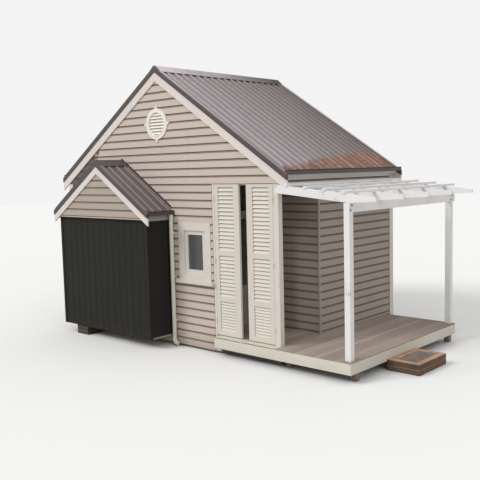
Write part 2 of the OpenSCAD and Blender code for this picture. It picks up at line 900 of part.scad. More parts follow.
module door_frame() {
    color(cream)
        placed()
            union() {
                block([door_x - jamb_w, 0, porch_floor_z], [door_x, wall_t, head_z]);
                block([door_x, leaf_t + leaf_gap, leaf_top_z - stop_h], [door_right_x, wall_t, head_z]);
                for (z = hinge_zs)
                    frame_knuckles([door_x + leaf_gap / 2, hinge_y, z], -1);
            }
}

// The two outer knuckles of one hinge and their plates on the frame
module frame_knuckles(at, side) {
    for (dz = [-knuckle_h - knuckle_gap, knuckle_h + knuckle_gap])
        translate(at + [0, 0, dz]) {
            cylinder(h = knuckle_h, r = knuckle_r, center = true);
            block([min(0, side * plate_w), 0, -knuckle_h / 2],
                  [max(0, side * plate_w), -at[1], knuckle_h / 2]);
        }
}

// The middle knuckle of one hinge and its plate on the leaf
module leaf_knuckle(at, side) {
    translate(at) {
        cylinder(h = knuckle_h, r = knuckle_r, center = true);
        block([min(0, side * plate_w), 0, -knuckle_h / 2],
              [max(0, side * plate_w), -at[1], knuckle_h / 2]);
    }
}

// Tilted blades between two heights, spaced evenly and let into the stiles
module blades(x0, x1, z0, z1, pitch) {
    count = round((z1 - z0) / pitch);
    step = (z1 - z0) / count;
    for (i = [0 : count - 1])
        translate([(x0 + x1) / 2, leaf_t / 2, z0 + (i + 0.5) * step])
            rotate([blade_tilt, 0, 0])
                cube([x1 - x0 + 2 * let_in, step / sin(blade_tilt), blade_t], center = true);
}

// A louvred leaf with its hanging stile at x = 0
module leaf() {
    inner_x0 = hang_stile_w;
    inner_x1 = leaf_w - meet_stile_w;
    union() {
        block([0, 0, leaf_z], [hang_stile_w, leaf_t, leaf_top_z]);
        block([inner_x1, 0, leaf_z], [leaf_w, leaf_t, leaf_top_z]);
        block([inner_x0, 0, leaf_top_z - top_rail_h], [inner_x1, leaf_t, leaf_top_z]);
        block([inner_x0, 0, upper_rail_z], [inner_x1, leaf_t, upper_rail_z + mid_rail_h]);
        block([inner_x0, 0, lower_rail_z], [inner_x1, leaf_t, lower_rail_z + mid_rail_h]);
        block([inner_x0, 0, leaf_z], [inner_x1, leaf_t, leaf_z + bottom_rail_h]);
        blades(inner_x0, inner_x1, upper_rail_z + mid_rail_h, leaf_top_z - top_rail_h, blade_pitch);
        blades(inner_x0, inner_x1, lower_rail_z + mid_rail_h, upper_rail_z, blade_pitch);
        blades(inner_x0, inner_x1, leaf_z + bottom_rail_h, lower_rail_z, low_blade_pitch);
        for (z = hinge_zs)
            leaf_knuckle([-leaf_gap / 2, hinge_y, z], 1);
    }
}

module left_door() {
    color(cream)
        placed()
            translate([door_x + leaf_gap, 0, 0])
                leaf();
}

module right_door() {
    color(cream)
        placed()
            translate([door_right_x - leaf_gap, 0, 0])
                mirror([1, 0, 0])
                    leaf();
}

// The entrance wall lies along y, so its pieces are drawn along x and turned over
module in_entrance() {
    translate([porch_side_x, entrance_y0, 0])
        mirror([1, -1, 0])
            children();
}

module entrance_frame() {
    x1 = door_x;
    color(cream)
        placed()
            union() {
                difference() {
                    block([porch_side_x, wall_t, porch_floor_z], [x1, porch_d, head_z]);
                    block([porch_side_x - 1, entrance_y0, floor_z], [x1 + 1, entrance_y1, entrance_head_z]);
                    block([porch_side_x - 1, entrance_y0, top_light_z0], [x1 + 1, entrance_y1, top_light_z1]);
                }
                in_entrance()
                    for (z = entrance_hinge_zs)
                        frame_knuckles([leaf_gap / 2, hinge_y, z], -1);
            }
}

module entrance_door() {
    x0 = leaf_gap;
    x1 = entrance_w - leaf_gap;
    s = entrance_stile_w;
    recess = (entrance_t - kick_t) / 2;
    color(cream)
        placed()
            in_entrance()
                union() {
                    difference() {
                        block([x0, 0, entrance_z0], [x1, entrance_t, entrance_z1]);
                        block([x0 + s, -1, kick_z], [x1 - s, entrance_t + 1, entrance_z1 - s]);
                        block([x0 + s, -1, entrance_z0 + s], [x1 - s, recess, kick_z - s]);
                        block([x0 + s, entrance_t - recess, entrance_z0 + s],
                              [x1 - s, entrance_t + 1, kick_z - s]);
                    }
                    for (z = entrance_hinge_zs)
                        leaf_knuckle([leaf_gap / 2, hinge_y, z], 1);
                }
}

module entrance_glass() {
    inset = leaf_gap + entrance_stile_w;
    color(glass_colour)
        placed()
            in_entrance()
                block([inset, (entrance_t - glass_t) / 2, kick_z],
                      [entrance_w - inset, (entrance_t + glass_t) / 2, entrance_z1 - entrance_stile_w]);
}

module pop_out_pier() {
    y0 = -pop_d + pier_inset;
    inner_y = -pop_d + pop_wall_t;
    color(brick_colour)
        placed()
            union() {
                block([pier_x - pier_w / 2, y0, 0], [pier_x + pier_w / 2, y0 + pier_w, pop_bottom_z]);
                block([pier_x - pier_w / 2, inner_y, 0], [pier_x + pier_w / 2, y0 + pier_w, floor_bottom_z]);
            }
}

module pop_out_walls() {
    top_z = pop_wall_top(pop_w / 2);
    color(charcoal)
        placed()
            union() {
                block([pop_left_x, -pop_d, pop_bottom_z], [pop_right_x, -pop_d + pop_wall_t, pop_gable_z]);
                for (x = [pop_left_x, pop_right_x - pop_wall_t])
                    block([x, -pop_d + pop_wall_t, pop_bottom_z], [x + pop_wall_t, 0, top_z]);
            }
}

module pop_out_gable() {
    outline = [
        [-pop_w / 2, pop_gable_z], [pop_w / 2, pop_gable_z], [pop_w / 2, pop_wall_top(pop_w / 2)],
        [0, pop_wall_top(0)], [-pop_w / 2, pop_wall_top(pop_w / 2)]
    ];
    color(board_colour)
        placed()
            in_pop_out()
                front_slab(outline, pop_gable_y, -pop_d + pop_wall_t);
}

module pop_out_roof() {
    drip_x = pop_fascia_x + sheet_drip;
    inner = pop_fascia_x - fascia_t;
    right = [
        [drip_x, pop_roof_top(drip_x) - pan_drop], [drip_x, pop_roof_top(drip_x) - sheet_low],
        [inner, pop_roof_top(inner) - sheet_low], [inner, pop_roof_under(inner)]
    ];
    left = [for (i = [3 : -1 : 0]) [-right[i][0], right[i][1]]];
    outline = concat([[0, pop_roof_top(0) - pan_drop]], right, [[0, pop_roof_under(0)]], left);
    color(roof_colour)
        placed()
            in_pop_out()
                union() {
                    front_slab(outline, pop_gable_y, 0);
                    for (side = [0, 1])
                        mirror([side, 0, 0])
                            ribs(pop_roof_top(0), drip_x, pop_gable_y, 0);
                }
}

module downpipe() {
    top_z = pop_gutter_z - gutter_h;
    color(cream)
        placed()
            union() {
                translate([pipe_x, pipe_y, pipe_foot_z - pipe_socket])
                    cylinder(h = top_z - pipe_foot_z + pipe_socket, r = pipe_r);
                translate([pipe_x + pipe_bend_r, pipe_y, pipe_foot_z])
                    rotate([90, 180, 0]) {
                        rotate_extrude(angle = pipe_turn)
                            translate([pipe_bend_r, 0])
                                circle(r = pipe_r + pipe_bend_t);
                        rotate([0, 0, pipe_turn])
                            translate([pipe_bend_r, -pipe_socket, 0])
                                rotate([-90, 0, 0])
                                    cylinder(h = pipe_foot_l + pipe_socket, r = pipe_r);
                    }
                for (z = [pipe_foot_z + bracket_inset, (top_z + pipe_foot_z) / 2, top_z - bracket_inset])
                    block([pipe_x - pipe_r - bracket_t, pipe_y, z],
                          [pipe_x + pipe_r + bracket_t, 0, z + bracket_h]);
            }
}

module deck_frame() {
    y0 = sill_front_y + deck_fascia_t;
    y1 = deck_rear_y - deck_fascia_t;
    pitch = (y1 - y0 - joist_w) / (joist_count - 1);
    color(timber_grey)
        placed()
            union() {
                for (i = [0 : joist_count - 1])
                    block([wall_x, y0 + i * pitch, joist_z],
                          [deck_inner_x, y0 + i * pitch + joist_w, deck_z - board_t]);
                for (x = bearer_xs)
                    block([x + (stump_w - joist_w) / 2, y0, bearer_z],
                          [x + (stump_w + joist_w) / 2, y1, joist_z]);
            }
}

module deck_boards() {
    color(timber_grey)
        placed()
            difference() {
                union() {
                    block([wall_x, sill_front_y, deck_z - board_t], [deck_right_x, deck_rear_y, deck_z]);
                    block([door_x, 0, porch_floor_z], [wall_x, porch_d, deck_z]);
                }
                block([door_right_x, -1, porch_floor_z - 1], [wall_x, corner_post_d, deck_z + 1]);
            }
}

// The fascia round the deck, and the painted sill board on it before the doors
module deck_edge_boards() {
    top_z = deck_z - board_t;
    low_z = top_z - deck_fascia_h;
    t = deck_fascia_t;
    color(cream)
        placed()
            union() {
                block([sill_board_x, sill_front_y, low_z], [deck_right_x, sill_front_y + t, top_z]);
                block([deck_inner_x, sill_front_y, low_z], [deck_right_x, deck_rear_y, top_z]);
                block([wall_x, deck_rear_y - t, low_z], [deck_right_x, deck_rear_y, top_z]);
                block([sill_board_x, sill_front_y, low_z], [sill_board_x + t, 0, top_z]);
                block([sill_board_x, sill_front_y, top_z], [wall_x, 0, deck_z]);
            }
}

module brick_step() {
    x0 = deck_right_x;
    color(brick_colour)
        placed()
            difference() {
                block([x0, step_y, 0], [x0 + step_d, step_y + step_w, step_h]);
                block([x0 + step_rim, step_y + step_rim, step_h - paver_t],
                      [x0 + step_d - step_rim, step_y + step_w - step_rim, step_h + 1]);
            }
}

module step_paver() {
    x0 = deck_right_x;
    color(paver_colour)
        placed()
            block([x0 + step_rim, step_y + step_rim, step_h - paver_t],
                  [x0 + step_d - step_rim, step_y + step_w - step_rim, step_h - paver_sink]);
}

module pergola_posts() {
    color(pergola_white)
        placed()
            for (y = [post_front_y, post_rear_y])
                union() {
                    block([post_x, y, deck_z], [post_x + post_w, y + post_w, beam_z]);
                    block([post_x, y, beam_z], [beam_x, y + post_w, beam_z + beam_h]);
                }
}

module pergola_beams() {
    color(pergola_white)
        placed() {
            block([beam_x, post_front_y, beam_z],
                  [post_x + post_w, post_rear_y + post_w + beam_past, beam_z + beam_h]);
            block([wall_x, post_front_y, ledger_z], [ledger_x, post_rear_y + post_w, ledger_z + ledger_h]);
        }
}

module rafter() {
    outer = post_x + post_w;
    outline = [
        [ledger_x, rafter_under(ledger_x)], [outer, rafter_under(outer)],
        [rafter_tip_x, rafter_top(rafter_tip_x) - rafter_tip_h], [rafter_tip_x, rafter_top(rafter_tip_x)],
        [ledger_x, rafter_top(ledger_x)]
    ];
    front_slab(outline, 0, rafter_w);
}

module pergola_rafters() {
    color(pergola_white)
        placed()
            for (i = [0 : rafter_count - 1])
                translate([0, post_front_y + i * rafter_pitch, 0])
                    rafter();
}

module pergola_battens() {
    y0 = post_front_y - batten_front;
    y1 = post_front_y + rafter_span + rafter_w + batten_past;
    color(pergola_white)
        placed()
            for (i = [0 : batten_count - 1]) {
                x = wall_x + batten_start + i * batten_pitch;
                translate([x, y0, rafter_top(x) + seam])
                    rotate([0, rafter_fall, 0])
                        cube([batten_w, y1 - y0, batten_h]);
            }
}

stumps();
floors();
front_wall_left();
front_wall_over_alcove();
front_wall_middle();
front_base_walls();
front_corner_post();
front_gable();
right_wall();
right_wall_over_porch();
left_wall();
rear_wall();
porch_back_wall();
porch_ceiling();
corner_boards();
roof_right();
roof_left();
ridge_caps();
barge_boards();
roof_flashings();
fascias();
gutters();
gable_vent();
window_frame();
glass_panes();
door_frame();
left_door();
right_door();
entrance_frame();
entrance_door();
entrance_glass();
pop_out_pier();
pop_out_walls();
pop_out_gable();
pop_out_roof();
downpipe();
deck_frame();
deck_boards();
deck_edge_boards();
brick_step();
step_paver();
pergola_posts();
pergola_beams();
pergola_rafters();
pergola_battens();
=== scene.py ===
"""Finishes of a garden studio: cladding, ribbed sheeting, decking, brickwork, fixings,
paint and weathering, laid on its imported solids. Metres, in the frame of the solids."""
import math

import bmesh
import bpy
from bpy.props import FloatProperty, FloatVectorProperty, IntProperty, PointerProperty
from mathutils import Matrix, Vector


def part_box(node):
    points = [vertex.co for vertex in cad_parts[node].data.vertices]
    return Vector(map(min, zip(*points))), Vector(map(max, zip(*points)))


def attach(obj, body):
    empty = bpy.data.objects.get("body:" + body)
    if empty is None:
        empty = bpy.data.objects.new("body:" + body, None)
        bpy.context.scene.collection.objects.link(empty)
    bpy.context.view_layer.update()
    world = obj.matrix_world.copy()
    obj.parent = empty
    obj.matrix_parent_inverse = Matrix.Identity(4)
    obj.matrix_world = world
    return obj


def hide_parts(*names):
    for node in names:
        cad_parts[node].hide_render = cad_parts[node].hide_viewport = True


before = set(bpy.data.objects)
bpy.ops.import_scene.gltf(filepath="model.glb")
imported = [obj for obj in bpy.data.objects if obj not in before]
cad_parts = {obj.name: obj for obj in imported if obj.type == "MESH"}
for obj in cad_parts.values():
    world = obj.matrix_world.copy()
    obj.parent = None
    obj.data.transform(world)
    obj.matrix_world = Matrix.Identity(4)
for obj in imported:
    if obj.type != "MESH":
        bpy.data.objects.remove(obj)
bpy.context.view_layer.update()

bl_info = {
    "name": "Garden studio finishes",
    "version": (1, 0, 0),
    "blender": (4, 5, 0),
    "location": "View3D > Sidebar > Studio",
    "description": "Clads, roofs, decks and paints a garden studio",
    "category": "Object",
}

HOUSE = "house"


def low(node):
    """Lowest corner of the box round a solid."""
    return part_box(node)[0]


def high(node):
    """Highest corner of the box round a solid."""
    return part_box(node)[1]


def corners_of(node):
    """The points of a solid's mesh."""
    return [v.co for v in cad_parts[node].data.vertices]


# Turn and size of a copy that is laid as it is
UNTURNED = (0.0, 0.0, 0.0)
FULL_SIZE = (1, 1, 1)
# Points closer than this lie on one plane
NEAR = 1e-4
# Depth that laid pieces sink into what they lie on
BED = 0.001
# Room left between the side boards and the underside of the roof
UNDER_ROOF = 0.006

# Planes and edges of the house, read from its solids
FRONT_Y = low("front_gable").y
REAR_Y = high("rear_wall").y
LEFT_X = low("front_gable").x
RIGHT_X = high("front_gable").x
RIDGE_X = (LEFT_X + RIGHT_X) / 2
WALL_T = high("front_gable").y - FRONT_Y
WALL_LOW_Z = low("rear_wall").z
HEAD_Z = low("front_gable").z
EAVE_Z = max(co.z for co in corners_of("right_wall") if co.x > RIGHT_X - NEAR) - UNDER_ROOF
DECK_Z = high("deck_boards").z
DECK_LOW_Z = low("deck_boards").z
PORCH_Y = low("porch_back_wall").y
PORCH_X = high("entrance_frame").x
POP_LEFT_X = low("pop_out_walls").x
POP_RIGHT_X = high("pop_out_walls").x
POP_X = (POP_LEFT_X + POP_RIGHT_X) / 2
POP_FRONT_Y = low("pop_out_walls").y
POP_GABLE_Y = low("pop_out_gable").y
POP_GABLE_Z = low("pop_out_gable").z
POP_RIDGE_Z = high("pop_out_roof").z
POP_DRIP_X = high("pop_out_roof").x - POP_X
ROOF_RIDGE_Z = high("roof_right").z
ROOF_DRIP_X = high("roof_right").x - RIDGE_X
LEDGER_Z = high("pergola_beams").z


def roof_slope():
    """Rise over run of the roofs, from the right slope's ridge and its lower edge."""
    drip_z = max(co.z for co in corners_of("roof_right") if abs(co.x - high("roof_right").x) < NEAR)
    return (ROOF_RIDGE_Z - drip_z) / ROOF_DRIP_X


SLOPE = roof_slope()
PITCH = math.atan(SLOPE)


class StudioSizes(bpy.types.PropertyGroup):
    """Sizes of what is laid on the solids."""
    course: FloatProperty(
        name="Board cover", description="Height that one weatherboard covers",
        default=0.141, unit="LENGTH")
    side_course: FloatProperty(
        name="Side board cover",
        description="Height that one weatherboard covers on the side walls",
        default=0.1397, unit="LENGTH")
    side_line_z: FloatProperty(
        name="Side board line", description="Height of one board's lower edge on the side walls",
        default=1.097, unit="LENGTH")
    pop_course: FloatProperty(
        name="Pop-out board cover",
        description="Height that one board covers on the pop-out's gable",
        default=0.139, unit="LENGTH")
    pop_line_z: FloatProperty(
        name="Pop-out board line",
        description="Height of one board's lower edge on the pop-out's gable",
        default=2.418, unit="LENGTH")
    board_gap: FloatProperty(
        name="Board gap", description="Height of the shaded rebate under each weatherboard",
        default=0.014, unit="LENGTH")
    # The chamfer's brown is painted shade under the lap, with dust
    board_chamfer: FloatProperty(
        name="Board chamfer",
        description="Height of the slanting, stained top edge of each weatherboard",
        default=0.024, unit="LENGTH")
    board_low: FloatProperty(
        name="Lower edge", description="Distance that a weatherboard's lower edge stands out",
        default=0.013, unit="LENGTH")
    board_high: FloatProperty(
        name="Upper edge",
        description="Distance that a weatherboard's chamfer starts out from the wall",
        default=0.008, unit="LENGTH")
    rib_pitch: FloatProperty(
        name="Rib spacing", description="Distance between the ribs of the sheeting",
        default=0.190, unit="LENGTH")
    rib_height: FloatProperty(
        name="Rib height", description="Height of a rib over its pan",
        default=0.022, unit="LENGTH")
    flute_height: FloatProperty(
        name="Flute height",
        description="Height of the two shallow ribs in each pan of the sheeting",
        default=0.0025, unit="LENGTH")
    wall_rib: FloatProperty(
        name="Wall rib", description="Height of the ribs on the pop-out's walls",
        default=0.006, unit="LENGTH")
    wall_rib_base: FloatProperty(
        name="Wall rib base", description="Half the width of a wall rib at its pan",
        default=0.025, unit="LENGTH")
    wall_rib_top: FloatProperty(
        name="Wall rib top", description="Half the width of a wall rib along its top",
        default=0.014, unit="LENGTH")
    deck_board: FloatProperty(
        name="Deck board", description="Width of a deck board",
        default=0.0905, unit="LENGTH")
    deck_gap: FloatProperty(
        name="Deck gap", description="Gap between two deck boards",
        default=0.0055, unit="LENGTH")
    brick_length: FloatProperty(
        name="Brick length", description="Length of a brick", default=0.225, unit="LENGTH")
    mortar: FloatProperty(
        name="Mortar", description="Width of a mortar joint", default=0.010, unit="LENGTH")
    screw_rows: IntProperty(
        name="Screw rows", description="Rows of screws across each roof slope",
        default=4, min=2, max=8)


class StudioColours(bpy.types.PropertyGroup):
    """Paints and finishes, in linear colour."""
    boards: FloatVectorProperty(
        name="Weatherboards", description="Greige paint",
        default=(0.535, 0.449, 0.391), subtype="COLOR")
    # The rebates' dark colour is painted shadow under each board, with dust
    lap: FloatVectorProperty(
        name="Board rebates", description="Shaded, dusty paint under each board",
        default=(0.095, 0.069, 0.052), subtype="COLOR")
    cream: FloatVectorProperty(
        name="Trim", description="Cream paint", default=(0.655, 0.608, 0.55), subtype="COLOR")
    white: FloatVectorProperty(
        name="Pergola", description="Worn white paint",
        default=(0.75, 0.733, 0.728), subtype="COLOR")
    roof: FloatVectorProperty(
        name="Roof sheeting", description="Faded lilac-grey coating",
        default=(0.300, 0.263, 0.274), subtype="COLOR")
    # Painted shade: the coating darkened towards the rear
    roof_rear_painted_shade: FloatVectorProperty(
        name="Roof sheeting, rear", description="The same coating where shade has stained it",
        default=(0.140, 0.116, 0.111), subtype="COLOR")
    rust: FloatVectorProperty(
        name="Rust", description="Rust along the right eave",
        default=(0.225, 0.112, 0.076), subtype="COLOR")
    flashing: FloatVectorProperty(
        name="Flashings", description="Dark folded metal",
        default=(0.054, 0.040, 0.037), subtype="COLOR")
    charcoal: FloatVectorProperty(
        name="Pop-out walls", description="Matt charcoal coating",
        default=(0.013, 0.0125, 0.011), subtype="COLOR")
    deck: FloatVectorProperty(
        name="Deck", description="Bare weathered boards",
        default=(0.315, 0.258, 0.220), subtype="COLOR")
    brick: FloatVectorProperty(
        name="Step bricks", description="Tan fired clay",
        default=(0.38, 0.21, 0.12), subtype="COLOR")


def sizes():
    return bpy.context.scene.studio_sizes


def colours():
    return bpy.context.scene.studio_colours


class Wire:
    """A socket of a node tree that Python's operators work on."""

    def __init__(self, tree, socket):
        self.tree = tree
        self.socket = socket

    def maths(self, operation, *values):
        return Nodes(self.tree).add("ShaderNodeMath", {"operation": operation}, values)

    def __add__(self, other):
        return self.maths("ADD", self, other)

    def __radd__(self, other):
        return self.maths("ADD", other, self)

    def __sub__(self, other):
        return self.maths("SUBTRACT", self, other)

    def __rsub__(self, other):
        return self.maths("SUBTRACT", other, self)

    def __mul__(self, other):
        return self.maths("MULTIPLY", self, other)

    def __rmul__(self, other):
        return self.maths("MULTIPLY", other, self)

    def __truediv__(self, other):
        return self.maths("DIVIDE", self, other)

    def __rtruediv__(self, other):
        return self.maths("DIVIDE", other, self)

    def __gt__(self, other):
        return self.maths("GREATER_THAN", self, other)

    def __lt__(self, other):
        return self.maths("LESS_THAN", self, other)

    def __abs__(self):
        return self.maths("ABSOLUTE", self)

    def floor(self):
        return self.maths("FLOOR", self)

    def fraction(self):
        return self.maths("FRACT", self)

    def clamped(self):
        return Nodes(self.tree).add("ShaderNodeClamp", {}, {"Value": self})


class Nodes:
    """Adds nodes to one tree, for shading or for shapes."""

    def __init__(self, tree):
        self.tree = tree

    def add(self, kind, settings=None, values=(), out=0):
        """A node with its settings, then the values or links of its sockets; gives one output."""
        node = self.tree.nodes.new(kind)
        for name, value in (settings or {}).items():
            if name == "stops":
                self.set_stops(node, value)
            else:
                setattr(node, name, value)
        pairs = values.items() if isinstance(values, dict) else enumerate(values)
        for key, value in pairs:
            socket = node.inputs[key]
            if isinstance(value, Wire):
                self.tree.links.new(value.socket, socket)
            else:
                socket.default_value = value
        return Wire(self.tree, node.outputs[out]) if node.outputs else None

    @staticmethod
    def set_stops(node, stops):
        ramp = node.color_ramp
        while len(ramp.elements) < len(stops):
            ramp.elements.new(1.0)
        for element, (place, colour) in zip(ramp.elements, stops):
            element.position = place
            element.color = colour

    def mix(self, factor, first, second, blend="MIX"):
        settings = {"data_type": "RGBA", "blend_type": blend, "clamp_factor": True}
        return self.add("ShaderNodeMix", settings, {"Factor": factor, 6: first, 7: second}, out=2)

    def over(self, base, factor, colour, blend="MIX"):
        """The base with one plain colour mixed over it."""
        return self.mix(factor, base, rgba(colour), blend)

    def ramp(self, value, start, end):
        """0 below start, 1 above end."""
        return self.add("ShaderNodeMapRange", {"clamp": True}, {"Value": value, 1: start, 2: end})

    def noise(self, scale, detail=3.0, stretch=(1, 1, 1), rough=0.55):
        """Noise over the object, with its coordinates stretched."""
        point = self.add("ShaderNodeTexCoord", out="Object")
        stretched = self.add("ShaderNodeMapping", {}, {"Vector": point, "Scale": stretch})
        return self.add("ShaderNodeTexNoise", {}, {
            "Vector": stretched, "Scale": scale, "Detail": detail, "Roughness": rough})

    def parts(self, vector):
        """The x, y and z of a vector."""
        split = self.add("ShaderNodeSeparateXYZ", {}, (vector,))
        return [Wire(self.tree, socket) for socket in split.socket.node.outputs]

    def axes(self):
        """Object coordinates x, y and z."""
        return self.parts(self.add("ShaderNodeTexCoord", out="Object"))

    def facing(self):
        """The surface's own normal, as x, y and z."""
        return self.parts(self.add("ShaderNodeNewGeometry", out="Normal"))

    def looked_at(self):
        """1 for rays from the camera, from a mirror or through glass, else 0."""
        seen = self.add("ShaderNodeLightPath", out="Is Camera Ray")
        for label in ("Is Glossy Ray", "Is Transmission Ray"):
            seen = seen.maths("MAXIMUM", seen, self.add("ShaderNodeLightPath", out=label))
        return seen

    def random(self, vector):
        return self.add("ShaderNodeTexWhiteNoise", {"noise_dimensions": "3D"}, {"Vector": vector})

    def vector(self, x, y, z):
        return self.add("ShaderNodeCombineXYZ", {}, (x, y, z))

    def bump(self, height, distance, strength=0.5):
        return self.add("ShaderNodeBump", {}, {
            "Height": height, "Distance": distance, "Strength": strength})


def rgba(colour, scale=1.0):
    return (colour[0] * scale, colour[1] * scale, colour[2] * scale, 1.0)


def new_material(name, paint):
    """A material whose surface the paint function makes from its nodes."""
    material = bpy.data.materials.new(name)
    material.use_nodes = True
    tree = material.node_tree
    shader = tree.nodes["Principled BSDF"]
    nodes = Nodes(tree)
    for key, value in paint(nodes).items():
        if isinstance(value, Wire):
            tree.links.new(value.socket, shader.inputs[key])
        else:
            shader.inputs[key].default_value = value
    return material


# Paint and dirt of the boards and the trim, with the painted shade and painted light laid over them, in
# linear colour
RUN_OFF = (0.30, 0.25, 0.20)
SOIL_ON_BOARDS = (0.24, 0.19, 0.14)
# Painted shade of the pergola, on the right wall and in the porch
PERGOLA_SHADE_TONE = (0.575, 0.575, 0.55)
# A darker tone, on the pop-out's gable, and as painted shade towards the rear of the deck
DULL_TONE = (0.66, 0.64, 0.62)
# Painted light on the right wall's boards above the pergola's ledger
PAINTED_LIGHT_ON_BOARDS = (0.80, 0.755, 0.73)
# Painted shade on the boards behind the pop-out's left slope
POP_OUT_CORNER_SHADE = (0.085, 0.068, 0.054)
ROOM_PAINT = (0.62, 0.59, 0.54)
ROOM_PAINT_DULL = (0.56, 0.53, 0.48)
# Painted shade, nearly black, at the foot of the walls under the deck
UNDER_DECK_SHADE = (0.020, 0.018, 0.016)
# Painted shade of the pergola, on the boards' chamfers
PERGOLA_SHADE_LAP_TONE = (0.66, 0.66, 0.66)
# Painted shade on the chamfers behind the pop-out's left slope
POP_OUT_CORNER_SHADE_IN_LAPS = (0.060, 0.048, 0.038)
DUST_ON_TRIM = (0.36, 0.31, 0.23)
# Green of age, darkened by painted shade, for the fascias along the pop-out
AGED_GREEN_AND_SHADE = (0.31, 0.315, 0.255)
PATCH_TONE = (0.84, 0.83, 0.80)
GRAIN_TONE = (0.72, 0.68, 0.62)
WOOD_UNDER_CREAM = (0.30, 0.22, 0.15)
WOOD_OF_DECK_EDGE = (0.26, 0.20, 0.14)
WOOD_UNDER_WHITE = (0.24, 0.17, 0.115)
ENTRANCE = (0.30, 0.27, 0.23)
ENTRANCE_DULL = (0.23, 0.205, 0.175)
ENTRANCE_GRAIN = (0.14, 0.12, 0.10)

# Metal, sheeting, glass, rubber and plastic, with painted light and shade on some of them, in linear
# colour
SPECKS_ON_SHEET = (0.12, 0.10, 0.092)
# Painted shade in the pans and painted highlight on the crests of the sheeting
PAN_SHADE = (0.80, 0.80, 0.80)
CREST_HIGHLIGHT = (1.22, 1.20, 1.20)
DEEP_RUST = (0.095, 0.050, 0.036)
DRY_RUST = (0.36, 0.215, 0.15)
RUBBED_RUST = (0.36, 0.30, 0.27)
WORN_RUST = (0.43, 0.32, 0.27)
# Pale laps of the flashings: fading and a painted highlight, paler higher up
LOW_LAPS = (0.20, 0.17, 0.165)
BLEACHED_AND_LIT_LAPS = (0.39, 0.335, 0.33)
SPECKS_ON_METAL = (0.18, 0.14, 0.12)
CHARCOAL_STREAKS = (0.036, 0.033, 0.029)
SOIL_ON_CHARCOAL = (0.05, 0.039, 0.028)
PIPE = (0.36, 0.355, 0.28)
PIPE_DULL = (0.285, 0.285, 0.22)
SOIL_ON_PIPE = (0.16, 0.15, 0.09)
GLASS = (0.045, 0.055, 0.055)
DUSTY_GLASS = (0.10, 0.11, 0.11)
ZINC = (0.34, 0.33, 0.33)
ZINC_DULL = (0.22, 0.215, 0.21)
RUST_SPOTS = (0.20, 0.085, 0.045)
RUBBER = (0.05, 0.043, 0.038)
DUSTY_RUBBER = (0.085, 0.074, 0.064)
# Fly mesh painted pale, as light in the shaded gaps between the vent's slats
FLY_MESH_PAINTED_LIGHT = (0.52, 0.47, 0.41)
DUSTY_MESH_PAINTED_LIGHT = (0.64, 0.59, 0.52)

# Bare timber, clay, mortar, stone and the stage's floor, in linear colour
DARK_GRAIN = (0.16, 0.125, 0.10)
PALE_GRAIN = (0.42, 0.36, 0.32)
TANNIN = (0.36, 0.22, 0.15)
SAWN = (0.26, 0.20, 0.145)
SAWN_DARK = (0.15, 0.115, 0.085)
SAWN_DUSTY = (0.30, 0.26, 0.21)
SAND_ON_BRICK = (0.50, 0.40, 0.33)
SOIL_ON_BRICK = (0.09, 0.066, 0.044)
MORTAR = (0.13, 0.105, 0.080)
MORTAR_DARK = (0.075, 0.060, 0.046)
STONE = (0.17, 0.128, 0.10)
STONE_DARK = (0.105, 0.083, 0.068)
SAND_ON_STONE = (0.26, 0.21, 0.17)
FLOOR_AS_LIGHT = (0.50, 0.50, 0.495)
FLOOR_AS_SEEN = (0.78, 0.78, 0.77)


def on_right_face(x):
    """Where a point lies on the outer face of the right wall, or on its boards."""
    return x > RIGHT_X - 0.002


def in_porch(x, y):
    """Where a point lies in the porch or in the walls round it."""
    return (x > PORCH_X - WALL_T + 0.005) * (y < PORCH_Y + 0.005)


def grime(nodes, amount=0.5):
    """Splash and dirt that fade out upwards from the ground."""
    z = nodes.axes()[2]
    patch = nodes.noise(3.1, 4.0)
    height = nodes.ramp(z + patch * 0.35, 0.55, 0.15)
    return height * amount


def pergola_painted_shade(nodes):
    """Painted shade on the right wall and in the porch, below the pergola's ledger, where the pergola
    shades them.
    """
    x, y, z = nodes.axes()
    patch = nodes.noise(1.6, 4.0)
    where = (on_right_face(x) + in_porch(x, y) * (y > FRONT_Y + WALL_T)).clamped()
    below = nodes.ramp(z + patch * 0.1, LEDGER_Z + 0.03, LEDGER_Z - 0.04)
    return where * below * (0.70 + patch * 0.4)


def painted_shade_below_deck(nodes):
    """Painted shade, dark, on the foot of the walls in the room under the deck."""
    x, _, z = nodes.axes()
    edge = low("deck_edge_boards")
    return (z < edge.z + 0.001) * (x > edge.x + 0.02) * 0.92


def painted_shade_behind_pop_out(nodes):
    """Dark, ragged painted shade on the boards behind the pop-out's left slope, under the eave."""
    x, y, z = nodes.axes()
    over_slope = z - (POP_RIDGE_Z - abs(x - POP_X) * SLOPE)
    ragged = nodes.noise(7.0, 6.0, rough=0.65) - 0.5
    corner = nodes.ramp(over_slope + ragged * 1.2, 1.15, 1.0) * (over_slope > -0.1)
    corner = corner * nodes.ramp(POP_X - x + ragged * 1.2, 0.78, 0.90)
    return corner * (y > POP_GABLE_Y + 0.2) * (y < FRONT_Y + 0.003) * (0.95 + ragged * 0.4)


